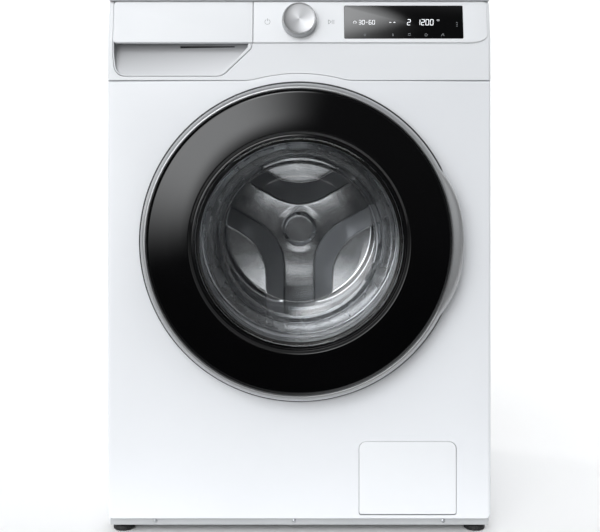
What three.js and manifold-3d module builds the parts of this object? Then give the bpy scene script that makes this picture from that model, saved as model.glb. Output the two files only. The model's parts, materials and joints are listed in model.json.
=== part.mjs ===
// Front load washing machine, in millimetres. +Z is up and the front faces -Y.
// The origin is on the floor under the middle of the machine.
import * as THREE from 'three';
import Module from 'manifold-3d';
import { mergeVertices } from 'three/addons/utils/BufferGeometryUtils.js';

const wasm = await Module();
wasm.setup();

// ---- driving dimensions ----
const WIDTH = 600;
const HEIGHT = 850;
const HALF = WIDTH / 2;
const CABINET_DEPTH = 550;
const DOOR_STANDOFF = 42; // how far the door stands in front of the front panel
const REAR_STANDOFF = 18; // how far the hose fittings stand behind the rear panel
const DEPTH = CABINET_DEPTH + DOOR_STANDOFF + REAR_STANDOFF;
const FRONT = DOOR_STANDOFF - DEPTH / 2; // y of the front panel's face
const GAP = 0.4; // between pieces that touch

const SHEET = 2; // folded steel, thickness
const SKIN = 3; // moulded plastic, thickness
const WORKTOP_BOTTOM = 835;
const PANEL_BOTTOM = 709.5; // lower edge of the control panel
const LIP_Z = 768; // where the upper band of the control panel begins
const LIP_OUT = 3; // how far the band's lip stands proud
const BAND_BACK = 9; // depth of the band's top edge behind the front panel
const BAND_RISE = WORKTOP_BOTTOM - LIP_Z;
const LEAN = Math.atan((BAND_BACK + LIP_OUT) / BAND_RISE);

const DOOR_Z = 458;
const DOOR_R = 247.4;
const COVER_R = 230.5; // glossy ring of the door, outer radius
const WINDOW_R = 159.5; // glossy ring, inner radius
const ARCH_R = 262.7; // arched seam above the door
const DISH_R = 235; // round recess behind the door
const DISH_DEPTH = 14;
const MOUTH_R = 170;
const HINGE_X = -233;
const HINGE_OUT = 24; // hinge pin's axis, in front of the front panel
const HANDLE_R = 252.6;
const HANDLE_HALF_ANGLE = 27;

const DRUM_Z = 466;
const DRUM_R = 240;
const DRUM_FRONT = 86;
const DRUM_BACK = 412;
const TUB_R = 258;
const SHAFT_R = 13;
const BELT_DEPTH = 505;
const DRUM_PULLEY_R = 140;
const MOTOR_PULLEY_R = 11;
const MOTOR_Z = 118;
const SUSPENSION_X = 240;
const SUSPENSION_DEPTH = 340;
const DAMPER_X = 170;
const DAMPER_DEPTH = 250;

const KNOB_Z = 802;
const DRAWER = { left: -291, right: -72.6, bottom: 716, cornerX: -120, shoulder: 761 };
const DISPLAY = { left: 70.3, right: 256.3, bottom: 774.7, top: 826.7 };
const FLAP = { left: 93.7, right: 245, bottom: 31.8, top: 145, hingeZ: 35.5, hingeDepth: 3.5 };
const PUMP = { x: 170, z: 88 };
const FOOT = { x: 279, front: 32, back: 518, padR: 17.2, padH: 11 };

const FINE = 44; // sides of the large rings in view
const MEDIUM = 28; // sides of the large rings inside
const SMALL = 14; // sides of small round pieces

// y of a plane that lies a depth behind the front panel's face
const at = (depth) => FRONT + depth;

// ---- materials ----
const paint = (color, roughness, metalness = 0) =>
  new THREE.MeshStandardMaterial({ color, roughness, metalness });
const WHITE = paint(0xeef0f2, 0.35);
const PLASTIC_WHITE = paint(0xe6e8ea, 0.45);
const GREY = paint(0xb9bcbf, 0.5);
const DARK = paint(0x2b2d30, 0.6);
const BLACK_GLOSS = paint(0x050506, 0.08);
const SILVER = paint(0x9c9fa3, 0.35, 0.7);
const STEEL = paint(0xb4b7ba, 0.3, 0.9);
const IRON = paint(0x55585b, 0.6, 0.8);
const ALUMINIUM = paint(0xa7aaad, 0.45, 0.9);
const RUBBER = paint(0x7d8084, 0.85);
const BLACK_RUBBER = paint(0x161617, 0.85);
const GLASS = paint(0x93999c, 0.05);
const GREEN = paint(0x2c5b3c, 0.5);

// ---- solids from three.js geometries ----
function solid(geometry) {
  const bare = geometry.clone();
  bare.deleteAttribute('normal');
  bare.deleteAttribute('uv');
  const merged = mergeVertices(bare, 1e-4);
  return new wasm.Manifold(new wasm.Mesh({
    numProp: 3,
    vertProperties: merged.attributes.position.array,
    triVerts: new Uint32Array(merged.index.array),
  }));
}

function geometryOf(body) {
  const mesh = body.getMesh();
  const geometry = new THREE.BufferGeometry();
  geometry.setAttribute('position', new THREE.BufferAttribute(mesh.vertProperties.slice(), 3));
  geometry.setIndex(new THREE.BufferAttribute(mesh.triVerts.slice(), 1));
  return geometry;
}

function join(first, ...others) {
  return geometryOf(others.reduce((sum, other) => sum.add(solid(other)), solid(first)));
}

function cut(first, ...tools) {
  return geometryOf(tools.reduce((rest, tool) => rest.subtract(solid(tool)), solid(first)));
}

function common(first, second) {
  return geometryOf(solid(first).intersect(solid(second)));
}

function block(x0, x1, y0, y1, z0, z1) {
  return new THREE.BoxGeometry(x1 - x0, y1 - y0, z1 - z0)
    .translate((x0 + x1) / 2, (y0 + y1) / 2, (z0 + z1) / 2);
}

// A ring or disc turned about a line along Y through (x, z); the profile holds [radius, depth].
function turned(profile, sides, z, x = 0) {
  const points = profile.map(([radius, depth]) => new THREE.Vector2(radius, depth));
  const area = THREE.ShapeUtils.area(points);
  if (area < 0) points.reverse();
  const onAxis = points.some((point) => point.x === 0);
  if (onAxis) {
    while (points[0].x !== 0 || points[points.length - 1].x !== 0) points.push(points.shift());
  } else {
    points.push(points[0].clone());
  }
  return new THREE.LatheGeometry(points, sides).translate(x, FRONT, z);
}

function shapeOf(points) {
  return new THREE.Shape(points.map(([x, z]) => new THREE.Vector2(x, z)));
}

// A plate with its outline in X and Z, from one depth to another.
function plate(outline, near, far, curveSegments = 24) {
  const shape = outline instanceof THREE.Shape ? outline : shapeOf(outline);
  return new THREE.ExtrudeGeometry(shape, { depth: far - near, bevelEnabled: false, curveSegments })
    .rotateX(Math.PI / 2)
    .translate(0, at(far), 0);
}

// A column with its outline in X and depth, from one height to another.
function column(outline, low, high, curveSegments = 6) {
  const shape = outline instanceof THREE.Shape ? outline : shapeOf(outline);
  return new THREE.ExtrudeGeometry(shape, { depth: high - low, bevelEnabled: false, curveSegments })
    .translate(0, FRONT, low);
}

// A rail with its outline in depth and Z, from one x to another.
function rail(outline, left, right) {
  return new THREE.ExtrudeGeometry(shapeOf(outline), { depth: right - left, bevelEnabled: false })
    .rotateX(Math.PI / 2)
    .rotateZ(Math.PI / 2)
    .translate(left, FRONT, 0);
}

function upright(x, depth, radius, low, high, sides = SMALL) {
  return new THREE.CylinderGeometry(radius, radius, high - low, sides)
    .rotateX(Math.PI / 2)
    .translate(x, at(depth), (low + high) / 2);
}

function hose(points, radius) {
  const section = new THREE.Shape().absarc(0, 0, radius, 0, 2 * Math.PI, false);
  const curve = new THREE.CatmullRomCurve3(points.map((p) => new THREE.Vector3(...p)));
  return new THREE.ExtrudeGeometry(section, {
    steps: 10,
    curveSegments: 5,
    extrudePath: curve,
    bevelEnabled: false,
  });
}

function roundedBox(left, right, bottom, top, radius) {
  const shape = new THREE.Shape();
  shape.absarc(right - radius, bottom + radius, radius, -Math.PI / 2, 0, false);
  shape.absarc(right - radius, top - radius, radius, 0, Math.PI / 2, false);
  shape.absarc(left + radius, top - radius, radius, Math.PI / 2, Math.PI, false);
  shape.absarc(left + radius, bottom + radius, radius, Math.PI, 1.5 * Math.PI, false);
  return shape;
}

// From the leaning band's own frame (x, depth into the band, distance up its face) to the machine's.
function onBand(geometry) {
  return geometry.rotateX(-LEAN).translate(0, at(-LIP_OUT), LIP_Z);
}

const upBand = (z) => (z - LIP_Z) / Math.cos(LEAN);

// Turned about the band's own depth direction, at a height on the machine.
function turnedUp(profile, z, sides = 32) {
  return turned(profile, sides, 0).translate(0, -FRONT, upBand(z));
}

const machine = new THREE.Group();

function add(name, geometry, material) {
  const mesh = new THREE.Mesh(geometry, material);
  mesh.name = name;
  machine.add(mesh);
}

// ---- cabinet ----
function sidePanel(side) {
  const outline = [
    [side * 300, 20.5], [side * 300, 549.6], [side * 280, 549.6], [side * 280, 547.6],
    [side * 298, 547.6], [side * 298, 20.5],
  ];
  if (side > 0) outline.reverse();
  return column(outline, 14, WORKTOP_BOTTOM - GAP);
}

function baseTray() {
  const outside = block(-297.5, 297.5, at(22.8), at(545), 16, 40);
  const inside = block(-294.5, 294.5, at(25.8), at(542), 19, 41);
  const holes = [];
  for (const x of [-FOOT.x, FOOT.x]) {
    for (const depth of [FOOT.front, FOOT.back]) holes.push(upright(x, depth, 5.8, 10, 25));
  }
  return cut(outside, inside, ...holes);
}

function baseStrip() {
  return block(-297, 297, at(10), at(13), 12, 24.6);
}

function frontPanel() {
  const wall = new THREE.Shape();
  wall.moveTo(-HALF, 20);
  wall.lineTo(-HALF, 6);
  wall.absarc(-HALF + 6, 6, 6, Math.PI, 1.5 * Math.PI, false);
  wall.lineTo(HALF - 6, 0);
  wall.absarc(HALF - 6, 6, 6, -Math.PI / 2, 0, false);
  wall.lineTo(HALF, 20);
  wall.lineTo(HALF - SHEET, 20);
  wall.absarc(HALF - 6, 6, 6 - SHEET, 0, -Math.PI / 2, true);
  wall.absarc(-HALF + 6, 6, 6 - SHEET, -Math.PI / 2, -Math.PI, true);
  wall.lineTo(-HALF + SHEET, 20);
  const skin = column(wall, 25, DOOR_Z + ARCH_R + 1);

  const face = new THREE.Shape();
  const corner = 9;
  const top = PANEL_BOTTOM - 0.5;
  const archStart = Math.asin((top - DOOR_Z) / (ARCH_R - 0.5));
  face.moveTo(-HALF - 1, top);
  face.lineTo(-HALF - 1, 25 + corner);
  face.lineTo(-HALF, 25 + corner);
  face.absarc(-HALF + corner, 25 + corner, corner, Math.PI, 1.5 * Math.PI, false);
  face.absarc(HALF - corner, 25 + corner, corner, -Math.PI / 2, 0, false);
  face.lineTo(HALF + 1, 25 + corner);
  face.lineTo(HALF + 1, top);
  face.absarc(0, DOOR_Z, ARCH_R - 0.5, archStart, Math.PI - archStart, false);
  const trimmed = common(skin, plate(face, -1, 21));

  const dishHole = turned([[0, -1], [DISH_R + 1, -1], [DISH_R + 1, 5], [0, 5]], FINE, DOOR_Z);
  const dish = turned([
    [DISH_R, 0], [DISH_R, DISH_DEPTH], [MOUTH_R + 2, DISH_DEPTH], [MOUTH_R, DISH_DEPTH + 2],
    [MOUTH_R, 27], [MOUTH_R + 2, 27], [MOUTH_R + 2, DISH_DEPTH + 2],
    [DISH_R + 2, DISH_DEPTH + 2], [DISH_R + 2, 0],
  ], FINE, DOOR_Z);
  const flapHole = block(FLAP.left - 0.8, FLAP.right + 0.8, at(-1), at(5), FLAP.bottom - 2, FLAP.top + 0.8);
  const hookSlot = block(196, 218, at(8), at(20), DOOR_Z - 8, DOOR_Z + 8);
  return cut(join(cut(trimmed, dishHole), dish), flapHole, hookSlot);
}

function worktop() {
  const left = -HALF + 1;
  const outline = [
    [4, WORKTOP_BOTTOM + GAP], [549.6, WORKTOP_BOTTOM + GAP], [549.6, HEIGHT - 3], [546, HEIGHT],
    [8, HEIGHT], [4, HEIGHT - 4],
  ];
  return rail(outline, left, -left);
}

function rearPanel() {
  const sheet = block(-297.5, 297.5, at(548), at(550), 42, WORKTOP_BOTTOM - GAP);
  const notchLeft = block(-299, -279.6, at(540), at(549.9), 41, 836);
  const notchRight = block(279.6, 299, at(540), at(549.9), 41, 836);
  const service = turned([[0, 540], [150, 540], [150, 560], [0, 560]], MEDIUM, 420);
  const valve = turned([[0, 540], [14, 540], [14, 560], [0, 560]], SMALL, 788, 215);
  const drain = turned([[0, 540], [12, 540], [12, 560], [0, 560]], SMALL, 770, -215);
  const cord = turned([[0, 540], [8, 540], [8, 560], [0, 560]], SMALL, 700, -255);
  return cut(sheet, notchLeft, notchRight, service, valve, drain, cord);
}

function rearServiceCover() {
  return turned([[0, 553], [140, 553], [146, 550.4], [160, 550.4], [160, 552.4], [148, 552.4],
    [142, 556], [0, 556]], MEDIUM, 420);
}

function crossbar() {
  return block(-297.5, 297.5, at(SUSPENSION_DEPTH - 13), at(SUSPENSION_DEPTH + 13), 817, 832);
}

// ---- control panel ----
function drawerOutline(margin) {
  const d = DRAWER;
  return [
    [d.left - margin, 840],
    [d.left - margin, d.bottom - margin],
    [d.cornerX + margin, d.bottom - margin],
    [d.right - 8 + margin, d.shoulder - margin], [d.right + margin, d.shoulder + 5], [d.right + margin, 840],
  ];
}

function bandProfile(back) {
  return [
    [0, PANEL_BOTTOM], [back, PANEL_BOTTOM], [back, WORKTOP_BOTTOM], [BAND_BACK, WORKTOP_BOTTOM],
    [-LIP_OUT, LIP_Z], [0, LIP_Z],
  ];
}

function controlPanel() {
  const skin = rail([
    [0, PANEL_BOTTOM], [SKIN, PANEL_BOTTOM], [SKIN, LIP_Z], [0.5, LIP_Z + SKIN],
    [BAND_BACK + 2.6, WORKTOP_BOTTOM - SKIN], [20, WORKTOP_BOTTOM - SKIN], [20, WORKTOP_BOTTOM],
    [BAND_BACK, WORKTOP_BOTTOM], [-LIP_OUT, LIP_Z], [0, LIP_Z],
  ], -HALF, HALF);
  const leftEnd = rail(bandProfile(20), -HALF, -HALF + SKIN);
  const rightEnd = rail(bandProfile(20), HALF - SKIN, HALF);
  const arch = turned([[0, -10], [ARCH_R, -10], [ARCH_R, 40], [0, 40]], 4 * FINE, DOOR_Z);
  const drawerHole = plate(drawerOutline(0.8), -10, 40);
  const knobHole = onBand(turnedUp([[0, -3], [6, -3], [6, 8], [0, 8]], KNOB_Z));
  const window = onBand(block(DISPLAY.left - GAP, DISPLAY.right + GAP, -5, 12,
    upBand(DISPLAY.bottom) - GAP, upBand(DISPLAY.top) + GAP));
  return cut(join(skin, leftEnd, rightEnd), arch, drawerHole, knobHole, window);
}

function displayWindow() {
  return onBand(block(DISPLAY.left, DISPLAY.right, 0.2, 2.7, upBand(DISPLAY.bottom), upBand(DISPLAY.top)));
}

function controlBoard() {
  return onBand(block(20, 266, 14, 24, 6, 60));
}

function selectorKnob() {
  return onBand(turnedUp([
    [0, -13.2], [22, -13.2], [23.5, -14.2], [25.2, -14.6], [25.8, -13.6], [27, -1], [26.2, -0.5],
    [5, -0.5], [5, 12], [0, 12],
  ], KNOB_Z));
}

// ---- detergent drawer ----
function drawerFront() {
  const body = common(rail([
    [-LIP_OUT, LIP_Z], [0, LIP_Z - 0.4], [1, DRAWER.bottom], [20, DRAWER.bottom], [20, 812], [14, 812],
    [14, WORKTOP_BOTTOM - GAP], [BAND_BACK, WORKTOP_BOTTOM - GAP],
  ], DRAWER.left, DRAWER.right), plate(drawerOutline(0), -10, 40));
  const scoop = rail([
    [-4, LIP_Z - 4], [14, LIP_Z - 4], [13, 752], [9, 738], [4, 726], [-2, DRAWER.bottom + 3],
  ], DRAWER.left + 4, DRAWER.right);
  const scoopRoom = plate(drawerOutline(-4), -20, 40);
  return cut(body, common(scoop, scoopRoom));
}

const TRAY = { left: -286, right: -79, bottom: 742, top: 806, front: 20.4, back: 296 };

function drawerTray() {
  const body = block(TRAY.left, TRAY.right, at(TRAY.front), at(TRAY.back), TRAY.bottom, TRAY.top);
  const walls = [TRAY.left, -222, -150, TRAY.right];
  const rooms = [];
  for (let i = 0; i < 3; i += 1) {
    const floor = TRAY.bottom + (i === 1 ? 22 : 3);
    rooms.push(block(walls[i] + 1.5, walls[i + 1] - 1.5, at(TRAY.front + 3), at(TRAY.back - 3),
      floor, TRAY.top + 1));
  }
  const inside = drawerOutline(-5);
  const trimmed = common(body, plate(drawerOutline(-2.5), 0, 400));
  return cut(trimmed, ...rooms.map((room) => common(room, plate(inside, 0, 400))));
}

function drawerHousing() {
  const body = block(TRAY.left - 4, TRAY.right + 4, at(21), at(302), TRAY.bottom - 6, TRAY.top + 6);
  const room = block(TRAY.left - 1.5, TRAY.right + 1.5, at(15), at(299), TRAY.bottom - 2, TRAY.top + 3);
  const outlet = upright(-180, 270, 13, 720, 735);
  return cut(body, room, outlet);
}

// ---- door, closed ----
function doorTrim() {
  const ring = turned([
    [DOOR_R, 8], [DOOR_R, 12], [246, 22], [243, 32], [238.5, 39.5], [235, 42], [233.2, 41.2], [231, 36],
    [231, 33], [236.5, 33], [240.5, 28], [243, 20], [244, 8],
  ].map(([radius, out]) => [radius, -out]), FINE, DOOR_Z);
  const grip = new THREE.Shape();
  const full = THREE.MathUtils.degToRad(HANDLE_HALF_ANGLE);
  const ends = THREE.MathUtils.degToRad(HANDLE_HALF_ANGLE + 7);
  const outer = [];
  for (let i = -8; i <= 8; i += 1) {
    const angle = (ends * i) / 8;
    const fade = THREE.MathUtils.smoothstep(Math.abs(angle), full * 0.8, ends);
    outer.push([angle, THREE.MathUtils.lerp(HANDLE_R, DOOR_R - 3, fade)]);
  }
  outer.forEach(([angle, radius], i) => {
    const x = radius * Math.cos(angle);
    const z = DOOR_Z + radius * Math.sin(angle);
    if (i === 0) grip.moveTo(x, z);
    else grip.lineTo(x, z);
  });
  grip.absarc(0, DOOR_Z, 241.5, ends, -ends, true);
  const handle = plate(grip, -34, -20, 16);
  const pocket = common(
    turned([[243.2, -19.9], [258, -19.9], [258, -2], [243.2, -2]], FINE, DOOR_Z),
    block(150, 300, at(-21), at(0), DOOR_Z - 95, DOOR_Z + 95),
  );
  return cut(join(ring, handle), pocket);
}

function doorCover() {
  return turned([
    [COVER_R, -36.8], [COVER_R, -33.8], [174, -34.6], [163, -31.2], [WINDOW_R, -28], [WINDOW_R, -31.5],
    [162, -35.2], [172, -38.4], [205, -39.2], [226, -38.2],
  ], FINE, DOOR_Z);
}

function doorGlass() {
  return turned([
    [172, -27.4], [172, -23.4], [158, -22.4], [149, 20], [141, 70], [130, 84], [108, 91], [0, 95],
    [0, 90], [106, 86], [126, 80], [136, 68], [144, 18], [152.5, -23], [155, -27.4],
  ], MEDIUM + 12, DOOR_Z);
}

function doorInnerFrame() {
  const ring = turned([
    [243.4, -8.4], [243.4, -11.4], [229, -11.4], [225, 4], [182, 7], [176.5, -22], [173, -22], [173, -18],
    [178.5, 10], [227, 8], [231, -8.4],
  ], FINE, DOOR_Z);
  const hingeRoom = block(-250, -186, at(-13), at(14), DOOR_Z - 34, DOOR_Z + 34);
  const pocketRoom = block(224, 262, at(-19), at(9), DOOR_Z - 90, DOOR_Z + 90);
  const hookRoom = block(194, 220, at(-13), at(14), DOOR_Z - 10, DOOR_Z + 10);
  return cut(ring, hingeRoom, pocketRoom, hookRoom);
}

function hingeBracket() {
  const foot = block(-214, -186, at(11), at(DISH_DEPTH - GAP), DOOR_Z - 32, DOOR_Z + 32);
  const lugs = [];
  for (const side of [-1, 1]) {
    const low = DOOR_Z + side * 22 - 4;
    const swan = new THREE.Shape();
    swan.moveTo(HINGE_X, -HINGE_OUT - 5.5);
    swan.lineTo(-209, -HINGE_OUT - 4);
    swan.lineTo(-203, -HINGE_OUT + 3);
    swan.lineTo(-203, 12);
    swan.lineTo(-211, 12);
    swan.lineTo(-211, -HINGE_OUT + 4);
    swan.lineTo(HINGE_X, -HINGE_OUT + 5.5);
    swan.absarc(HINGE_X, -HINGE_OUT, 5.5, Math.PI / 2, 1.5 * Math.PI, false);
    lugs.push(column(swan, low, low + 8));
  }
  const pinHole = upright(HINGE_X, -HINGE_OUT, 3.5, DOOR_Z - 40, DOOR_Z + 40);
  return cut(join(foot, ...lugs), pinHole);
}

function doorHingeArm() {
  const pin = upright(HINGE_X, -HINGE_OUT, 3, DOOR_Z - 30, DOOR_Z + 30);
  const boss = block(HINGE_X - 4, HINGE_X + 6, at(-HINGE_OUT - 6), at(-HINGE_OUT + 5),
    DOOR_Z - 17, DOOR_Z + 17);
  const strap = block(HINGE_X, -190, at(-32.8), at(-30), DOOR_Z - 17, DOOR_Z + 17);
  return join(pin, boss, strap);
}

function latchHook() {
  const stem = block(203, 209, at(-20), at(30), DOOR_Z - 5, DOOR_Z + 5);
  const barb = block(198, 209, at(24), at(30), DOOR_Z - 5, DOOR_Z + 5);
  return join(stem, barb);
}

function doorLock() {
  const body = block(187, 232, at(DISH_DEPTH + 2.4), at(58), DOOR_Z - 34, DOOR_Z + 34);
  const room = block(193, 222, at(10), at(48), DOOR_Z - 9, DOOR_Z + 9);
  return cut(body, room);
}

// ---- tub, drum and drive ----
function doorGasket() {
  const bellows = turned([
    [163, 11], [178, 11], [178, 13.6], [169.4, 13.6], [169.4, 29], [185, 33], [185, 61], [180, 65],
    [180, 74.2], [176.8, 74.2], [176.8, 64.5], [168, 60], [163, 42],
  ], MEDIUM, DOOR_Z);
  // The front of the bellows is centred on the door and its back on the drum.
  const places = bellows.attributes.position;
  for (let i = 0; i < places.count; i += 1) {
    const along = THREE.MathUtils.clamp((places.getY(i) - at(30)) / 34, 0, 1);
    places.setZ(i, places.getZ(i) + along * (DRUM_Z - DOOR_Z));
  }
  return bellows;
}

function tubFront() {
  return turned([
    [172, 66], [176.2, 66], [176.2, 75], [TUB_R + 4, 79], [TUB_R + 4, 232], [268, 232], [268, 240],
    [TUB_R, 240], [TUB_R, 82], [172, 79],
  ], MEDIUM, DRUM_Z);
}

function tubRear() {
  return turned([
    [268, 240.4], [268, 248], [TUB_R + 4, 248], [TUB_R + 4, 455], [46, 462], [46, 492], [31, 492],
    [31, 427], [46, 427], [46, 446], [TUB_R, 440], [TUB_R, 240.4],
  ], MEDIUM, DRUM_Z);
}

function bearing(near) {
  return turned([[SHAFT_R + 0.4, near], [30.6, near], [30.6, near + 16], [SHAFT_R + 0.4, near + 16]],
    28, DRUM_Z);
}

function counterweight() {
  const body = block(-45, 175, at(120), at(315), 640, 792);
  const hollow = turned([[0, 100], [TUB_R + 5, 100], [TUB_R + 5, 330], [0, 330]], MEDIUM, DRUM_Z);
  const rear = turned([[0, 231], [270, 231], [270, 330], [0, 330]], MEDIUM, DRUM_Z);
  return cut(body, hollow, rear);
}

function motor() {
  const can = turned([[0, 372], [50, 372], [56, 378], [56, 470], [50, 476], [8, 476], [8, 468], [0, 468]],
    24, MOTOR_Z);
  const lugs = [-1, 1].map((side) => block(
    Math.min(side * 48, side * 60), Math.max(side * 48, side * 60), at(395), at(440), MOTOR_Z, 206,
  ));
  return join(can, ...lugs);
}

function motorPulley() {
  return turned([[0, 468.6], [5, 468.6], [5, 497], [MOTOR_PULLEY_R, 497], [MOTOR_PULLEY_R, 513], [0, 513]],
    20, MOTOR_Z);
}

function driveBelt() {
  const loop = (margin) => {
    const big = DRUM_PULLEY_R + margin;
    const small = MOTOR_PULLEY_R + margin;
    const tilt = Math.asin((big - small) / (DRUM_Z - MOTOR_Z));
    const path = new THREE.Shape();
    path.absarc(0, DRUM_Z, big, -tilt, Math.PI + tilt, false);
    path.absarc(0, MOTOR_Z, small, Math.PI + tilt, 2 * Math.PI - tilt, false);
    path.closePath();
    return path;
  };
  const belt = loop(4);
  belt.holes.push(loop(0.8));
  return plate(belt, BELT_DEPTH - 5, BELT_DEPTH + 5, 20);
}

function heater() {
  const low = DRUM_Z - 251;
  const y0 = at(110);
  const y1 = at(400);
  return hose([[-28, y0, low], [-28, (y0 + y1) / 2, low], [-26, y1 - 25, low], [-14, y1, low],
    [14, y1, low], [26, y1 - 25, low], [28, (y0 + y1) / 2, low], [28, y0, low]], 3.5);
}

function drumShell() {
  return turned([
    [168, DRUM_FRONT + 8], [166, DRUM_FRONT + 4], [169, DRUM_FRONT], [174, DRUM_FRONT],
    [DRUM_R - 8, DRUM_FRONT + 6],
    [DRUM_R + 2, DRUM_FRONT + 18], [DRUM_R + 2, DRUM_BACK], [DRUM_R, DRUM_BACK], [DRUM_R, DRUM_FRONT + 19],
    [DRUM_R - 9, DRUM_FRONT + 8], [174, DRUM_FRONT + 2],
  ], MEDIUM + 12, DRUM_Z);
}

function drumBack() {
  const disc = turned([[0, DRUM_BACK + GAP], [DRUM_R + 1, DRUM_BACK + GAP], [DRUM_R + 1, DRUM_BACK + 3],
    [0, DRUM_BACK + 3]], MEDIUM + 12, DRUM_Z);
  const hub = turned([[0, DRUM_BACK - 16], [24, DRUM_BACK - 12], [31, DRUM_BACK + 1], [0, DRUM_BACK + 1]],
    28, DRUM_Z);
  const arms = [30, 150, 270].map((degrees) => rail([
    [DRUM_BACK + 1, 20], [DRUM_BACK + 1, 225], [DRUM_BACK - 5, 205],
    [DRUM_BACK - 14, 30], [DRUM_BACK - 14, 20],
  ], -30, 30).rotateY(-THREE.MathUtils.degToRad(degrees - 90)).translate(0, 0, DRUM_Z));
  return join(disc, hub, ...arms);
}

// A lifter hangs from the drum's wall as a blunt wedge that runs the drum's length.
function lifter(degrees) {
  const root = DRUM_R - 0.8;
  const wedge = plate([
    [-50, Math.sqrt(root * root - 2500)], [-38, root - 24], [-17, 174], [-9, 168], [9, 168], [17, 174],
    [38, root - 24], [50, Math.sqrt(root * root - 2500)], [25, Math.sqrt(root * root - 625)],
    [-25, Math.sqrt(root * root - 625)],
  ], DRUM_FRONT + 24, DRUM_BACK - 18);
  return wedge.rotateY(-THREE.MathUtils.degToRad(degrees - 90)).translate(0, 0, DRUM_Z);
}

function drumSpider() {
  const near = DRUM_BACK + 3.6;
  const ring = turned([[SHAFT_R + 0.4, near], [44, near], [44, near + 8], [SHAFT_R + 0.4, near + 8]],
    28, DRUM_Z);
  const arms = [90, 210, 330].map((degrees) => rail([
    [near, 35], [near, 234], [near + 6, 234], [near + 18, 54], [near + 8, 54], [near + 8, 35],
  ], -14, 14).rotateY(-THREE.MathUtils.degToRad(degrees - 90)).translate(0, 0, DRUM_Z));
  return join(ring, ...arms);
}

function drumShaft() {
  return turned([[0, DRUM_BACK + 3.6], [SHAFT_R, DRUM_BACK + 3.6], [SHAFT_R, 518], [0, 518]], 24, DRUM_Z);
}

function drumPulley() {
  const wheel = turned([
    [SHAFT_R + 0.4, 497], [22, 497], [22, 502], [128, 502], [128, 497], [DRUM_PULLEY_R, 497],
    [DRUM_PULLEY_R, 513], [128, 513], [128, 508], [22, 508], [22, 513], [SHAFT_R + 0.4, 513],
  ], MEDIUM, DRUM_Z);
  const windows = [];
  for (let i = 0; i < 6; i += 1) {
    windows.push(new THREE.CylinderGeometry(30, 30, 20, 14)
      .translate(0, at(BELT_DEPTH), 78)
      .rotateY((i * Math.PI) / 3)
      .translate(0, 0, DRUM_Z));
  }
  return cut(wheel, ...windows);
}

// ---- suspension ----
function spring(side) {
  return upright(side * SUSPENSION_X, SUSPENSION_DEPTH, 9, 600, 816.5, 10);
}

function springEar(side) {
  return block(
    Math.min(side * 228, side * 254), Math.max(side * 228, side * 254),
    at(SUSPENSION_DEPTH - 12), at(SUSPENSION_DEPTH + 12), 588, 599.5,
  );
}

function damperTube(side) {
  return cut(
    upright(side * DAMPER_X, DAMPER_DEPTH, 14, 19.4, 160),
    upright(side * DAMPER_X, DAMPER_DEPTH, 7.5, 40, 170),
  );
}

function damperRod(side) {
  const top = DRUM_Z - Math.sqrt((TUB_R + 14) ** 2 - (DAMPER_X - 9) ** 2);
  return upright(side * DAMPER_X, DAMPER_DEPTH, 6, 62, top - 12);
}

// ---- water path ----
function inletValve() {
  const spigot = turned([
    [0, 520], [13, 520], [13, CABINET_DEPTH + REAR_STANDOFF],
    [9, CABINET_DEPTH + REAR_STANDOFF], [9, 535], [0, 535],
  ], SMALL, 788, 215);
  return join(spigot, block(190, 240, at(480), at(540), 772, 806));
}

function drainOutlet() {
  return turned([
    [7, 520], [11, 520], [11, 545],
    [11, CABINET_DEPTH + REAR_STANDOFF], [7, CABINET_DEPTH + REAR_STANDOFF],
  ], SMALL, 770, -215);
}

function cordGland() {
  return turned([[0, 535], [7.4, 535], [7.4, 550.4], [11, 550.4], [9, 563], [4, 563], [4, 545], [0, 545]],
    SMALL, 700, -255);
}

function drainPump() {
  const housing = turned([
    [31, 24], [38, 24], [38, 120], [30, 128], [30, 160], [0, 160], [0, 124], [31, 116],
  ], 24, PUMP.z, PUMP.x);
  const inlet = upright(PUMP.x, 80, 15, PUMP.z + 34, PUMP.z + 52);
  const feet = block(PUMP.x - 26, PUMP.x + 26, at(60), at(140), 19.4, PUMP.z - 34);
  const bore = turned([[0, 20], [31, 20], [31, 116], [0, 116]], 24, PUMP.z, PUMP.x);
  return cut(join(housing, inlet, feet), bore);
}

function pumpFilter() {
  const cap = turned([[0, 14], [30, 14], [30, 40], [22, 40], [22, 96], [0, 96]], 24, PUMP.z, PUMP.x);
  const grip = block(PUMP.x - 22, PUMP.x + 22, at(9), at(16), PUMP.z - 3.5, PUMP.z + 3.5);
  return join(cap, grip);
}

function sumpHose() {
  return hose([[95, at(180), 212], [95, at(180), 204], [110, at(150), 182], [155, at(98), 172],
    [PUMP.x, at(80), 160], [PUMP.x, at(80), 141]], 12);
}

function fillHose() {
  return upright(-180, 270, 12, 668.6, 729.5, 12);
}

// ---- service flap and feet ----
function serviceFlap() {
  const panel = plate(roundedBox(FLAP.left, FLAP.right, FLAP.bottom, FLAP.top, 11), 0, 2.5, 5);
  const barrels = [];
  for (const x of [FLAP.left + 20, FLAP.right - 32]) {
    barrels.push(block(x, x + 12, at(1), at(6), FLAP.hingeZ - 2.5, FLAP.hingeZ + 2.5));
  }
  return join(panel, ...barrels);
}

function foot(x, depth) {
  return new THREE.LatheGeometry([
    [0, 0], [FOOT.padR, 0], [FOOT.padR, FOOT.padH - 3], [FOOT.padR - 3, FOOT.padH],
    [5.2, FOOT.padH], [5.2, 46], [0, 46],
  ].map(([radius, height]) => new THREE.Vector2(radius, height)), SMALL)
    .rotateX(Math.PI / 2)
    .translate(x, at(depth), 0);
}

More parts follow.
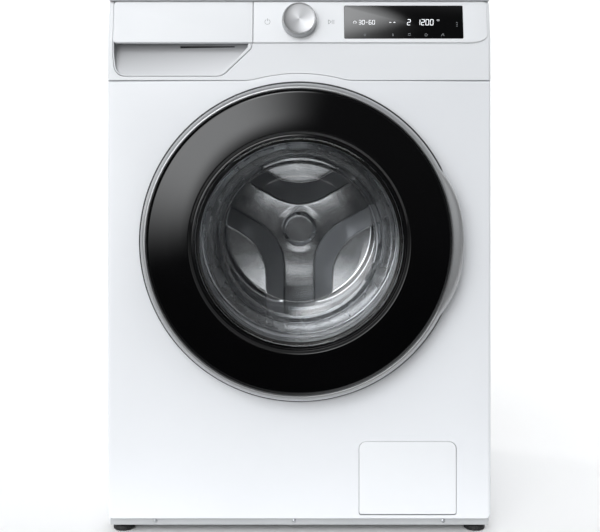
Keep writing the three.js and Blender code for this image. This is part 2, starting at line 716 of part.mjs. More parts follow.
// ---- assembly ----
add('base_tray', baseTray(), GREY);
add('base_strip', baseStrip(), GREY);
add('side_panel_left', sidePanel(-1), WHITE);
add('side_panel_right', sidePanel(1), WHITE);
add('rear_panel', rearPanel(), WHITE);
add('rear_service_cover', rearServiceCover(), WHITE);
add('front_panel', frontPanel(), WHITE);
add('worktop', worktop(), PLASTIC_WHITE);
add('crossbar', crossbar(), STEEL);
add('control_panel', controlPanel(), PLASTIC_WHITE);
add('display_window', displayWindow(), BLACK_GLOSS);
add('control_board', controlBoard(), GREEN);
add('selector_knob', selectorKnob(), SILVER);
add('drawer_front', drawerFront(), PLASTIC_WHITE);
add('drawer_tray', drawerTray(), PLASTIC_WHITE);
add('drawer_housing', drawerHousing(), GREY);

add('door_trim', doorTrim(), SILVER);
add('door_cover', doorCover(), BLACK_GLOSS);
add('door_glass', doorGlass(), GLASS);
add('door_inner_frame', doorInnerFrame(), GREY);
add('hinge_bracket', hingeBracket(), STEEL);
add('door_hinge_arm', doorHingeArm(), STEEL);
add('latch_hook', latchHook(), STEEL);
add('door_lock', doorLock(), DARK);
add('door_gasket', doorGasket(), RUBBER);

add('tub_front', tubFront(), GREY);
add('tub_rear', join(tubRear(), springEar(-1), springEar(1)), GREY);
add('front_bearing', bearing(430), STEEL);
add('rear_bearing', bearing(472), STEEL);
add('counterweight', counterweight(), IRON);
add('motor', motor(), ALUMINIUM);
add('motor_pulley', motorPulley(), STEEL);
add('drive_belt', driveBelt(), BLACK_RUBBER);
add('heater', heater(), STEEL);
add('drum_shell', drumShell(), STEEL);
add('drum_back', drumBack(), STEEL);
[90, 210, 330].forEach((degrees, i) => add(`drum_lifter_${i + 1}`, lifter(degrees), GREY));
add('drum_spider', drumSpider(), ALUMINIUM);
add('drum_shaft', drumShaft(), STEEL);
add('drum_pulley', drumPulley(), ALUMINIUM);

add('spring_left', spring(-1), STEEL);
add('spring_right', spring(1), STEEL);
add('damper_tube_left', damperTube(-1), DARK);
add('damper_tube_right', damperTube(1), DARK);
add('damper_rod_left', damperRod(-1), STEEL);
add('damper_rod_right', damperRod(1), STEEL);

add('inlet_valve', inletValve(), PLASTIC_WHITE);
add('drain_outlet', drainOutlet(), DARK);
add('cord_gland', cordGland(), DARK);
add('drain_pump', drainPump(), DARK);
add('pump_filter', pumpFilter(), GREY);
add('sump_hose', sumpHose(), BLACK_RUBBER);
add('fill_hose', fillHose(), BLACK_RUBBER);
add('service_flap', serviceFlap(), PLASTIC_WHITE);
const corners = [
  ['front_left', -FOOT.x, FOOT.front], ['front_right', FOOT.x, FOOT.front],
  ['rear_left', -FOOT.x, FOOT.back], ['rear_right', FOOT.x, FOOT.back],
];
corners.forEach(([name, x, depth]) => add(`foot_${name}`, foot(x, depth), BLACK_RUBBER));

export default machine;
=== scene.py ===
"""The looks of a front load washing machine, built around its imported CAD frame.

Metres, +Z up; the machine's front faces -Y.
"""

import json
import math

import bmesh
import bpy
from mathutils import Matrix, Vector


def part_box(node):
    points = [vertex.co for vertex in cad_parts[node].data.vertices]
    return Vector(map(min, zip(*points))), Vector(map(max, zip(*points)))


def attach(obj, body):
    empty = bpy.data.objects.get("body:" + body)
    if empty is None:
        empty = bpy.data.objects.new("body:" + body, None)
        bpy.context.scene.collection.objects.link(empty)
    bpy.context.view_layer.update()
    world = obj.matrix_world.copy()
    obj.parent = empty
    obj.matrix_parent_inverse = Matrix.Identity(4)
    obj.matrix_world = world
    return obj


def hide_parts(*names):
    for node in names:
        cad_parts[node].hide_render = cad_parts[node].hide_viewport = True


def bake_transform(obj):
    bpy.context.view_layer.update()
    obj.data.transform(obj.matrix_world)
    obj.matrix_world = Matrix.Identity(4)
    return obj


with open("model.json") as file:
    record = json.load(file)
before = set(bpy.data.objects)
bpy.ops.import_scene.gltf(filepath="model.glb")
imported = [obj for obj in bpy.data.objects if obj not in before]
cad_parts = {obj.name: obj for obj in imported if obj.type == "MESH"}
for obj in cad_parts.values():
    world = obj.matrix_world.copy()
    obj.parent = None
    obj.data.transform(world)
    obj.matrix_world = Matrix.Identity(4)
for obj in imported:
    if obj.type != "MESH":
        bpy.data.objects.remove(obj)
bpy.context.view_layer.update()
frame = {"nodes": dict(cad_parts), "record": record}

# ---- places, from the frame ----
MM = 0.001
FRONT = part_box("front_panel")[0].y
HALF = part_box("front_panel")[1].x
PANEL_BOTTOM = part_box("control_panel")[0].z
BAND_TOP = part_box("control_panel")[1].z
LIP_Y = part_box("control_panel")[0].y
LIP_Z = 768 * MM
BAND_LEAN = math.atan2(12, 67)
BAND_LENGTH = (BAND_TOP - LIP_Z) / math.cos(BAND_LEAN)
DOOR_Z = (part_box("door_cover")[0].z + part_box("door_cover")[1].z) / 2
DRUM_Z = (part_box("drum_shell")[0].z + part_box("drum_shell")[1].z) / 2
DRUM_R = (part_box("drum_shell")[1].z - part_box("drum_shell")[0].z) / 2
ARCH_R = 262.2 * MM
ARCH_HALF = 120 * MM
DISH_R = 235 * MM
# The door's handle is full within the first angle of its middle and ends at the second, in degrees.
HANDLE_FULL, HANDLE_END = 9.5, 27.5
FLAP_BELOW = 1.6 * MM
# The drum's star: half of an arm's width, and how widely two arms' edges blend.
ARM_HALF = 30 * MM
ARM_BLEND = 52 * MM
LOBES = (90, 210, 330)
FLAP_LOW, FLAP_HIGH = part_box("service_flap")
DRAWER_LOW, DRAWER_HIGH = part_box("drawer_front")
DISPLAY_LOW, DISPLAY_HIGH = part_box("display_window")

BODY_OF = {n: b for b, names in frame["record"]["behaviour"]["bodies"].items() for n in names}
SLOT_OF = {s["node"]: s["material_slot"] for s in frame["record"]["subparts"]}


# ---- node helpers ----
class Nodes:
    """A material's node tree with short calls."""

    def __init__(self, name):
        self.material = bpy.data.materials.new(name)
        self.material.use_nodes = True
        self.tree = self.material.node_tree
        self.shader = self.tree.nodes["Principled BSDF"]
        self.output = self.tree.nodes["Material Output"]

    def add(self, kind, **values):
        node = self.tree.nodes.new("ShaderNode" + kind)
        for key, value in values.items():
            setattr(node, key, value)
        return node

    def link(self, source, target):
        self.tree.links.new(source, target)

    def place(self):
        """Object coordinates, which are the machine's own because each piece's origin is the machine's."""
        return self.add("TexCoord").outputs["Object"]

    def axes(self):
        split = self.add("SeparateXYZ")
        self.link(self.place(), split.inputs["Vector"])
        return split.outputs["X"], split.outputs["Y"], split.outputs["Z"]

    def noise(self, scale, detail=2.0):
        noise = self.add("TexNoise")
        noise.inputs["Scale"].default_value = scale
        noise.inputs["Detail"].default_value = detail
        self.link(self.place(), noise.inputs["Vector"])
        return noise.outputs["Fac"]

    def remap(self, value, low, high, start=0.3, end=0.7):
        node = self.add("MapRange")
        node.inputs["From Min"].default_value = start
        node.inputs["From Max"].default_value = end
        node.inputs["To Min"].default_value = low
        node.inputs["To Max"].default_value = high
        self.link(value, node.inputs["Value"])
        return node.outputs["Result"]

    def math(self, operation, first, second=None):
        node = self.add("Math", operation=operation)
        for socket, value in zip(node.inputs, (first, second)):
            if value is None:
                continue
            if isinstance(value, (int, float)):
                socket.default_value = value
            else:
                self.link(value, socket)
        return node.outputs["Value"]

    def span(self, first, second):
        """The length of a line that runs this far along two axes."""
        squares = [self.math("MULTIPLY", value, value) for value in (first, second)]
        return self.math("SQRT", self.math("ADD", *squares))

    def color(self, source):
        self.link(source, self.shader.inputs["Base Color"])

    def rough(self, source):
        self.link(source, self.shader.inputs["Roughness"])

    def bump(self, height, strength, distance=0.0005):
        node = self.add("Bump")
        node.inputs["Strength"].default_value = strength
        node.inputs["Distance"].default_value = distance
        self.link(height, node.inputs["Height"])
        self.link(node.outputs["Normal"], self.shader.inputs["Normal"])

    def tint(self, value, dark, light):
        node = self.add("Mix", data_type="RGBA")
        node.inputs["A"].default_value = (*dark, 1)
        node.inputs["B"].default_value = (*light, 1)
        self.link(value, node.inputs["Factor"])
        return node.outputs["Result"]

    def set(self, **values):
        for key, value in values.items():
            self.shader.inputs[key.replace("_", " ")].default_value = value


def varied(color, amount):
    """A darker and a lighter neighbour of a colour."""
    dark = tuple(max(0.0, c * (1 - amount)) for c in color)
    light = tuple(min(1.0, c * (1 + amount)) for c in color)
    return dark, light


def surface(name, color, rough, metallic=0.0, grain=900.0, relief=0.05, spread=0.05, shade=0.02, **extra):
    """A plain material with grain in its relief, soft cloudiness in its colour and changing roughness."""
    n = Nodes(name)
    cloud = n.noise(7.0, 3.0)
    dark, light = varied(color, shade)
    n.color(n.tint(n.remap(cloud, 0, 1), dark, light))
    n.rough(n.remap(n.noise(60.0, 4.0), rough - spread, rough + spread))
    n.bump(n.noise(grain, 2.0), relief)
    n.set(Metallic=metallic, **extra)
    return n.material


def white_paint():
    """Powder coat: a faint orange peel under a satin gloss."""
    return surface("powder_coat", (0.80, 0.815, 0.84), 0.34, grain=420, relief=0.035, spread=0.03,
                   shade=0.008, Coat_Weight=0.15, Coat_Roughness=0.2)


def white_plastic():
    return surface("white_moulding", (0.81, 0.825, 0.845), 0.4, grain=1500, relief=0.03, spread=0.04,
                   shade=0.006)


def worktop_laminate():
    return surface("worktop_laminate", (0.74, 0.75, 0.765), 0.5, grain=700, relief=0.2, spread=0.06,
                   shade=0.012)


def drawer_well_painted_shade():
    """The finger hollow's moulding, painted greyer towards its upper left as painted shade under the band's
    overhang.
    """
    n = Nodes("drawer_well_painted_shade")
    x, y, z = n.axes()
    across = n.remap(x, 0, 1, -270 * MM, -100 * MM)
    down = n.remap(z, 1, 0, 722 * MM, LIP_Z)
    share = n.math("MULTIPLY", n.math("ADD", across, n.math("MULTIPLY", down, 2.0)), 1 / 3)
    # Painted shade: darker towards the hollow's upper left, under the band.
    n.color(n.tint(share, (0.36, 0.365, 0.375), (0.72, 0.73, 0.75)))
    n.rough(n.remap(n.noise(60.0, 4.0), 0.38, 0.46))
    n.bump(n.noise(1500, 2.0), 0.03)
    return n.material


def tray_plastic():
    return surface("tray_moulding", (0.72, 0.75, 0.79), 0.38, grain=1300, relief=0.05)


def grey_plastic():
    return surface("grey_moulding", (0.36, 0.365, 0.375), 0.52, grain=1100, relief=0.16)


def base_grey():
    return surface("base_moulding", (0.46, 0.47, 0.48), 0.5, grain=1000, relief=0.12)


def lifter_plastic():
    return surface("lifter_moulding", (0.42, 0.43, 0.44), 0.4, grain=1200, relief=0.08)


def dark_plastic():
    return surface("dark_moulding", (0.03, 0.031, 0.033), 0.5, grain=1000, relief=0.2)


def board_case():
    return surface("board_case", (0.05, 0.14, 0.08), 0.45, grain=800, relief=0.1)


def black_rubber():
    return surface("black_rubber", (0.011, 0.011, 0.012), 0.62, grain=1400, relief=0.35, spread=0.08)


def grey_rubber():
    return surface("grey_rubber", (0.17, 0.175, 0.18), 0.6, grain=1300, relief=0.3, spread=0.08)


def cast_iron():
    return surface("raw_casting", (0.09, 0.09, 0.095), 0.75, metallic=0.6, grain=260, relief=0.8, shade=0.15)


def steel():
    return surface("zinc_plate", (0.5, 0.51, 0.53), 0.3, metallic=1.0, grain=500, relief=0.06, spread=0.1,
                   shade=0.08)


def galvanised():
    """Zinc sheet with its crystal spangle."""
    n = Nodes("galvanised_sheet")
    cells = n.add("TexVoronoi")
    cells.inputs["Scale"].default_value = 90
    n.link(n.place(), cells.inputs["Vector"])
    value = n.add("SeparateColor")
    n.link(cells.outputs["Color"], value.inputs["Color"])
    n.color(n.tint(value.outputs["Red"], (0.42, 0.43, 0.44), (0.56, 0.57, 0.58)))
    n.rough(n.remap(value.outputs["Green"], 0.32, 0.5, 0, 1))
    n.set(Metallic=0.8)
    return n.material


def aluminium():
    return surface("die_casting", (0.52, 0.53, 0.545), 0.42, metallic=1.0, grain=380, relief=0.25,
                   spread=0.08)


def silver_trim():
    """Metallic lacquer: fine flakes under a satin coat."""
    n = Nodes("silver_lacquer")
    flakes = n.noise(5200.0, 1.0)
    n.color(n.tint(n.remap(flakes, 0, 1, 0.35, 0.65), (0.4, 0.406, 0.413), (0.47, 0.476, 0.483)))
    n.rough(n.remap(n.noise(45.0, 3.0), 0.3, 0.36))
    n.bump(flakes, 0.04, 0.0002)
    n.set(Metallic=0.72, Coat_Weight=0.25, Coat_Roughness=0.18)
    return n.material


def black_gloss():
    """Piano black: deep gloss with the faintest waviness."""
    n = Nodes("piano_black")
    n.color(n.tint(n.remap(n.noise(5.0), 0, 1), (0.0009, 0.0009, 0.0011), (0.0015, 0.0015, 0.0018)))
    n.rough(n.remap(n.noise(30.0, 3.0), 0.05, 0.075))
    n.bump(n.noise(14.0, 1.0), 0.012, 0.001)
    n.set(IOR=1.52)
    return n.material


def door_glass():
    """Clear pressed glass. Lamps shine through it, so that the drum behind is lit."""
    n = Nodes("clear_glass")
    n.color(n.tint(n.remap(n.noise(12.0), 0, 1), (0.95, 0.965, 0.97), (0.98, 0.985, 0.99)))
    n.rough(n.remap(n.noise(25.0, 2.0), 0.0, 0.02))
    n.set(Transmission_Weight=1.0, IOR=1.45)
    clear = n.add("BsdfTransparent")
    clear.inputs["Color"].default_value = (0.93, 0.94, 0.95, 1)
    mix = n.add("MixShader")
    n.link(n.add("LightPath").outputs["Is Shadow Ray"], mix.inputs["Fac"])
    n.link(n.shader.outputs["BSDF"], mix.inputs[1])
    n.link(clear.outputs["BSDF"], mix.inputs[2])
    n.link(mix.outputs["Shader"], n.output.inputs["Surface"])
    return n.material


def drum_steel():
    """Polished on the star, duller outside it, and satin on the lobes' drawn flanks."""
    n = Nodes("drum_steel")
    cloud = n.noise(18.0, 3.0)
    x, y, z = n.axes()
    height = n.math("SUBTRACT", z, DRUM_Z)
    outside = n.remap(n.span(x, height), 0, 1, 150 * MM, 185 * MM)
    polished = n.tint(n.remap(cloud, 0, 1), (0.54, 0.55, 0.565), (0.6, 0.61, 0.625))
    mix = n.add("Mix", data_type="RGBA")
    n.link(outside, mix.inputs["Factor"])
    n.link(polished, mix.inputs["A"])
    mix.inputs["B"].default_value = (0.3, 0.305, 0.315, 1)
    n.color(mix.outputs["Result"])
    lobes = None
    for middle in LOBES:
        sides = []
        for arm, sign in ((middle - 60, 1), (middle + 60, -1)):
            a = math.radians(arm)
            across = n.math("ADD", n.math("MULTIPLY", x, -sign * math.sin(a)),
                            n.math("MULTIPLY", height, sign * math.cos(a)))
            sides.append(n.math("SUBTRACT", across, ARM_HALF))
        apart = n.math("ABSOLUTE", n.math("SUBTRACT", *sides))
        gap = n.math("MAXIMUM", n.math("SUBTRACT", 1.0, n.math("DIVIDE", apart, ARM_BLEND)), 0.0)
        rounding = n.math("MULTIPLY", n.math("MULTIPLY", gap, gap), ARM_BLEND / 4)
        deep = n.math("SUBTRACT", n.math("MINIMUM", *sides), rounding)
        lobes = deep if lobes is None else n.math("MAXIMUM", lobes, deep)
    flank = n.math("MULTIPLY", n.remap(lobes, 0, 1, 0, 2 * MM), n.remap(lobes, 1, 0, 35 * MM, 37 * MM))
    fine = n.remap(n.noise(40.0, 3.0), 0.12, 0.16)
    n.rough(n.math("ADD", fine, n.math("MULTIPLY", outside, 0.14)))
    n.bump(n.noise(30.0, 2.0), 0.006, 0.0005)
    n.link(n.math("SUBTRACT", 1.0, n.math("MULTIPLY", flank, 0.32)), n.shader.inputs["Metallic"])
    return n.material


def drum_wall_steel():
    """The drum's wall: steel pierced by a staggered grid of small holes, which are painted near black as
    painted shade.
    """
    n = Nodes("pierced_drum_steel")
    n.rough(n.remap(n.noise(40.0, 3.0), 0.16, 0.24))
    x, y, z = n.axes()
    angle = n.math("ARCTAN2", n.math("SUBTRACT", z, DRUM_Z), x)
    pitch = 11 * MM
    along = n.math("DIVIDE", y, pitch)
    row = n.math("FLOOR", along)
    count = round(2 * math.pi * DRUM_R / pitch)
    around = n.math("ADD", n.math("MULTIPLY", angle, count / (2 * math.pi)), n.math("MULTIPLY", row, 0.5))
    across = n.math("SUBTRACT", n.math("FRACT", around), 0.5)
    down = n.math("SUBTRACT", n.math("FRACT", along), 0.5)
    solid = n.remap(n.span(across, down), 0.0, 1.0, 0.13, 0.18)
    n.bump(solid, 0.35, 0.0008)
    # The holes are painted near black: painted shade for what is seen through them.
    n.color(n.tint(solid, (0.02, 0.02, 0.021), (0.5, 0.51, 0.525)))
    n.link(solid, n.shader.inputs["Metallic"])
    return n.material


def spun_metal():
    """The knob's face: rings turned by a lathe tool, which spread the light along them, and bright and dark
    sectors painted into its colour as painted highlight.
    """
    n = Nodes("spun_metal")
    x, y, z = n.axes()
    grooves = n.math("SINE", n.math("MULTIPLY", n.span(x, y), 2 * math.pi / (0.35 * MM)))
    angle = n.math("ARCTAN2", y, x)
    # Painted highlight: bright and dark sectors round the face by angle, with the grooves' rings added.
    painted_highlight_sectors = n.math("SINE", n.math("ADD", n.math("MULTIPLY", angle, -2.0), 0.5))
    shine = n.math("ADD", painted_highlight_sectors, n.math("MULTIPLY", grooves, 0.12))
    n.color(n.tint(n.remap(shine, 0, 1, -1.1, 1.1), (0.25, 0.252, 0.257), (0.40, 0.403, 0.41)))
    n.rough(n.remap(n.noise(900.0), 0.36, 0.42))
    tangent = n.add("Tangent", direction_type="RADIAL", axis="Z")
    n.link(tangent.outputs["Tangent"], n.shader.inputs["Tangent"])
    n.set(Metallic=1.0, Anisotropic=0.6)
    return n.material


def glowing(name, color, strength):
    n = Nodes(name)
    n.color(n.tint(n.remap(n.noise(300.0), 0, 1), *varied(color, 0.03)))
    n.shader.inputs["Emission Color"].default_value = (*color, 1)
    n.set(Roughness=0.4, Emission_Strength=strength)
    return n.material


MAKERS = {
    "white_paint": white_paint, "white_plastic": white_plastic, "worktop_laminate": worktop_laminate,
    "tray_plastic": tray_plastic, "grey_plastic": grey_plastic, "base_grey": base_grey,
    "lifter_plastic": lifter_plastic, "dark_plastic": dark_plastic, "board_case": board_case,
    "black_rubber": black_rubber, "grey_rubber": grey_rubber, "cast_iron": cast_iron, "steel": steel,
    "galvanised": galvanised, "aluminium": aluminium, "silver_trim": silver_trim,
    "black_gloss": black_gloss, "door_glass": door_glass, "drum_steel": drum_steel,
    "spun_metal": spun_metal,
}
LOOKS = {slot: make() for slot, make in MAKERS.items()}


# ---- mesh helpers ----
def smooth_piece(name, bm, angle):
    """An object made from a bmesh, smooth but for edges sharper than the angle."""
    bmesh.ops.recalc_face_normals(bm, faces=bm.faces)
    mesh = bpy.data.meshes.new(name)
    bm.to_mesh(mesh)
    bm.free()
    for polygon in mesh.polygons:
        polygon.use_smooth = True
    mesh.set_sharp_from_angle(angle=math.radians(angle))
    obj = bpy.data.objects.new(name, mesh)
    bpy.context.scene.collection.objects.link(obj)
    return obj


def finish_mesh(name, bm, body, slot, look=None, replaces=(), angle=35, own_frame=None):
    """Turns a bmesh into a piece that rides on a body."""
    bmesh.ops.remove_doubles(bm, verts=bm.verts, dist=1e-7)
    obj = smooth_piece(name, bm, angle)
    if own_frame is not None:
        obj.matrix_world = own_frame
    obj.data.materials.append(look or LOOKS[slot])
    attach(obj, body)
    if replaces:
        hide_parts(*replaces)
    return obj


def free_mesh(name, bm, slot, replaces):
    """A piece with no body yet, for one that bends between two."""
    obj = smooth_piece(name, bm, 40)
    obj.data.materials.append(LOOKS[slot])
    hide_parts(*replaces)
    return obj


def loops_mesh(loops, closed=True, caps=True):
    """A bmesh from loops of points, each joined to the next; a loop of one point closes to a tip."""
    bm = bmesh.new()
    rings = [[bm.verts.new(p) for p in loop] for loop in loops]
    for a, b in zip(rings, rings[1:]):
        count = max(len(a), len(b))
        for i in range(count if closed else count - 1):
            j = (i + 1) % count
            corners = [a[i % len(a)], a[j % len(a)], b[j % len(b)], b[i % len(b)]]
            unique = []
            for v in corners:
                if v not in unique:
                    unique.append(v)
            if len(unique) > 2:
                bm.faces.new(unique)
    if caps:
        for ring in (rings[0], rings[-1]):
            if len(ring) > 2:
                bm.faces.new(ring)
    return bm


def fillet(points, steps=6):
    """A closed outline whose corners (a, b, radius) are rounded."""
    out = []
    count = len(points)
    for i, corner in enumerate(points):
        here = Vector(corner[:2])
        radius = corner[2] if len(corner) > 2 else 0
        back = (Vector(points[i - 1][:2]) - here).normalized()
        ahead = (Vector(points[(i + 1) % count][:2]) - here).normalized()
        turn = back.angle(ahead, math.pi)
        if radius <= 0 or turn > math.pi - 1e-3:
            out.append(tuple(here))
            continue
        reach = radius / math.tan(turn / 2)
        middle = here + (back + ahead).normalized() * (radius / math.sin(turn / 2))
        start = here + back * reach - middle
        end = here + ahead * reach - middle
        sweep = math.pi - turn
        side = 1 if start.x * end.y - start.y * end.x > 0 else -1
        for k in range(steps + 1):
            spin = Matrix.Rotation(side * sweep * k / steps, 2)
            out.append(tuple(middle + spin @ start))
    return out


def inset(outline, amounts):
    """The outline moved inwards by an amount at each point."""
    count = len(outline)
    area = sum(outline[i - 1][0] * outline[i][1] - outline[i][0] * outline[i - 1][1] for i in range(count))
    sign = 1 if area > 0 else -1
    moved = []
    for i, (a, b) in enumerate(outline):
        before = Vector((a - outline[i - 1][0], b - outline[i - 1][1])).normalized()
        after = Vector((outline[(i + 1) % count][0] - a, outline[(i + 1) % count][1] - b)).normalized()
        n1 = Vector((-before.y, before.x)) * sign
        n2 = Vector((-after.y, after.x)) * sign
        miter = (n1 + n2) / max(0.3, 1 + n1.dot(n2))
        moved.append((a + miter.x * amounts[i], b + miter.y * amounts[i]))
    return moved


def outward_x(outline):
    """How much each point of the outline faces sideways, from 0 to 1."""
    count = len(outline)
    out = []
    for i in range(count):
        edge = Vector(outline[(i + 1) % count]) - Vector(outline[i - 1])
        out.append(abs(edge.normalized().y))
    return out


def on_front(u, v, depth):
    return (u, FRONT + depth, v)


def on_band(u, v, depth):
    """From the leaning band's frame: across, up its face, into it."""
    c, s = math.cos(BAND_LEAN), math.sin(BAND_LEAN)
    return (u, LIP_Y + depth * c + v * s, LIP_Z - depth * s + v * c)


def up_band(z):
    """How far up the band's face a height on the machine lies."""
    return (z - LIP_Z) / math.cos(BAND_LEAN)


def rim_plate(outline, depth, edge, place, steps=5, side_edge=None, back_edge=0.0):
    """A plate with a rounded front edge; where it faces sideways the edge radius may differ."""
    radii = [edge] * len(outline)
    if side_edge is not None:
        radii = [edge + (side_edge - edge) * f ** 2 for f in outward_x(outline)]
    loops = []
    if back_edge:
        loops.append([place(u, v, depth) for u, v in inset(outline, [back_edge] * len(outline))])
    loops.append([place(u, v, depth - back_edge) for u, v in outline])
    for k in range(steps + 1):
        turn = math.pi / 2 * k / steps
        moved = inset(outline, [r * (1 - math.cos(turn)) for r in radii])
        loops.append([place(u, v, r * (1 - math.sin(turn))) for (u, v), r in zip(moved, radii)])
    return loops_mesh(loops)


def lathe(profile, z, x=0.0, sides=192, closed=True):
    """Turned about a line along Y; the profile holds (radius, distance in front of the front panel)."""
    loops = []
    points = list(profile) + ([profile[0]] if closed else [])
    for radius, out in points:
        if radius < 1e-7:
            loops.append([(x, FRONT - out, z)])
            continue
        loops.append([(u, FRONT - out, v) for u, v in circle(radius, x, z, sides)])
    return loops_mesh(loops, caps=False)


def turned_up(profile, sides):
    """Turned about Z in the piece's own frame; the profile holds (radius, height)."""
    loops = []
    for radius, height in profile:
        if radius == 0:
            loops.append([(0, 0, height)])
        else:
            loops.append([(u, v, height) for u, v in circle(radius, sides=sides)])
    return loops_mesh(loops, caps=False)


def metres(profile):
    """A profile of pairs given in millimetres."""
    return [(a * MM, b * MM) for a, b in profile]


def carve(obj, *cutters):
    """Cuts each cutter bmesh out of a piece."""
    tools = []
    for bm in cutters:
        bmesh.ops.recalc_face_normals(bm, faces=bm.faces)
        mesh = bpy.data.meshes.new("cutter")
        bm.to_mesh(mesh)
        bm.free()
        tool = bpy.data.objects.new("cutter", mesh)
        bpy.context.scene.collection.objects.link(tool)
        modifier = obj.modifiers.new("cut", "BOOLEAN")
        modifier.operation = "DIFFERENCE"
        modifier.solver = "EXACT"
        modifier.object = tool
        tools.append(tool)
    bpy.context.view_layer.update()
    evaluated = obj.evaluated_get(bpy.context.evaluated_depsgraph_get())
    made = bpy.data.meshes.new_from_object(evaluated)
    obj.modifiers.clear()
    made.name = obj.data.name
    obj.data = made
    made.set_sharp_from_angle(angle=math.radians(35))
    for tool in tools:
        bpy.data.objects.remove(tool)
    return obj


def prism(outline, low, high, place):
    return loops_mesh([[place(u, v, low) for u, v in outline], [place(u, v, high) for u, v in outline]])


def circle(radius, u=0.0, v=0.0, sides=192):
    turns = [2 * math.pi * i / sides for i in range(sides)]
    return [(u + radius * math.cos(turn), v + radius * math.sin(turn)) for turn in turns]


def rectangle(left, right, bottom, top, radius):
    corners = ((left, bottom), (right, bottom), (right, top), (left, top))
    return fillet([(*corner, radius) for corner in corners])


# ---- cabinet ----
def arched(x, level, radius):
    """Height of the seam above the door: level, with an arch round the door that blends in softly."""
    rise = DOOR_Z + math.sqrt(radius ** 2 - x ** 2) - level
    soft = 2.2 * MM
    return level + (rise + math.sqrt(rise ** 2 + soft ** 2)) / 2 - soft * 0.12


def arch_points(level, radius):
    """The seam from right to left across the arch."""
    count = 72
    places = [ARCH_HALF - 2 * ARCH_HALF * i / count for i in range(count + 1)]
    return [(x, arched(x, level, radius)) for x in places]


def flap_outline(gap, below):
    """The flap's edge; its lower corners are tighter, so that it swings down past the opening's."""
    left, right, low, high = FLAP_LOW.x - gap, FLAP_HIGH.x + gap, FLAP_LOW.z - below, FLAP_HIGH.z + gap
    upper, lower = 11 * MM + gap, 3.5 * MM + gap
    return fillet([(left, low, lower), (right, low, lower), (right, high, upper), (left, high, upper)])


def cabinet_front():
    level = PANEL_BOTTOM - 0.6 * MM
    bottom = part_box("front_panel")[0].z
    corner = 9 * MM
    lower = fillet([(-HALF, level), (-HALF, bottom, corner), (HALF, bottom, corner), (HALF, level)])
    outline = lower + arch_points(level, ARCH_R)
    obj = finish_mesh("cabinet_front", rim_plate(outline, 20 * MM, 1.0 * MM, on_front, side_edge=6 * MM),
                      "cabinet", "white_paint", replaces=["front_panel"])
    openings = circle(DISH_R + 0.6 * MM, 0, DOOR_Z), flap_outline(0.7 * MM, FLAP_BELOW)
    carve(obj, *(prism(opening, -5 * MM, 30 * MM, on_front) for opening in openings))


def door_dish():
    """The round hollow that the door closes into, with the latch's slot."""
    profile = fillet([
        (DISH_R + 0.5 * MM, 0.0), (DISH_R - 2 * MM, -14 * MM, 5 * MM), (172 * MM, -14 * MM, 2 * MM),
        (170 * MM, -27 * MM), (172 * MM, -27 * MM), (174 * MM, -16 * MM, 2 * MM),
        (DISH_R, -16 * MM, 4 * MM), (DISH_R + 2 * MM, -2 * MM), (DISH_R + 2 * MM, 0.0),
    ])
    obj = finish_mesh("door_dish", lathe(profile, DOOR_Z), "cabinet", "white_paint")
    slot = rectangle(196 * MM, 218 * MM, DOOR_Z - 8 * MM, DOOR_Z + 8 * MM, 2 * MM)
    carve(obj, prism(slot, 5 * MM, 20 * MM, on_front))


def worktop():
    low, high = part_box("worktop")
    outline = rectangle(low.x, high.x, low.y, high.y, 5 * MM)
    place = lambda u, v, d: (u, v, high.z - d)
    bm = rim_plate(outline, high.z - low.z, 4 * MM, place, back_edge=1 * MM)
    finish_mesh("worktop_slab", bm, "cabinet", "worktop_laminate", replaces=["worktop"])


def base_strip_screws():
    """The strip under the front panel, a shadow gap below it, with three cross head screws."""
    low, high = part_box("base_strip")
    shadow_gap = 2.4 * MM
    outline = rectangle(low.x, high.x, low.z, high.z - shadow_gap, 1 * MM)
    place = lambda u, v, d: (u, low.y + d, v)
    finish_mesh("base_rail", rim_plate(outline, high.y - low.y, 0.8 * MM, place), "cabinet", "base_grey",
                replaces=["base_strip"])
    middle = (low.z + high.z) / 2
    head = metres([(0, 1.8), (1.6, 1.6), (2.9, 0.9), (3.3, -0.4), (0, -0.4)])
    profile = [(radius, out + FRONT - low.y) for radius, out in head]
    for i, x in enumerate((-226 * MM, -8 * MM, 226 * MM)):
        screw = finish_mesh(f"base_screw_{i + 1}", lathe(profile, middle, x, 28, False), "cabinet", "steel")
        for turn in (0, 1):
            long, short = (2 * MM, 0.35 * MM) if turn else (0.35 * MM, 2 * MM)
            bar = rectangle(x - long, x + long, middle - short, middle + short, 0)
            carve(screw, prism(bar, -3 * MM, -0.8 * MM, place))


def service_flap():
    bm = rim_plate(flap_outline(0, 0), 2.6 * MM, 0.9 * MM, on_front)
    finish_mesh("flap_face", bm, "flap", "white_plastic", replaces=["service_flap"])


# ---- control panel ----
def seam_outline(margin):
    """The drawer's outline on the front, seen square on; margin widens it."""
    left, right = DRAWER_LOW.x - margin, DRAWER_HIGH.x + margin
    bottom = DRAWER_LOW.z - margin
    return fillet([
        (left, 0.84), (left, LIP_Z - 20 * MM), (left + 3 * MM, bottom, 18 * MM),
        (-121 * MM + margin, bottom, 22 * MM), (right - 3 * MM, LIP_Z - 9 * MM - margin, 5 * MM),
        (right, LIP_Z + 2 * MM), (right, 0.84),
    ])


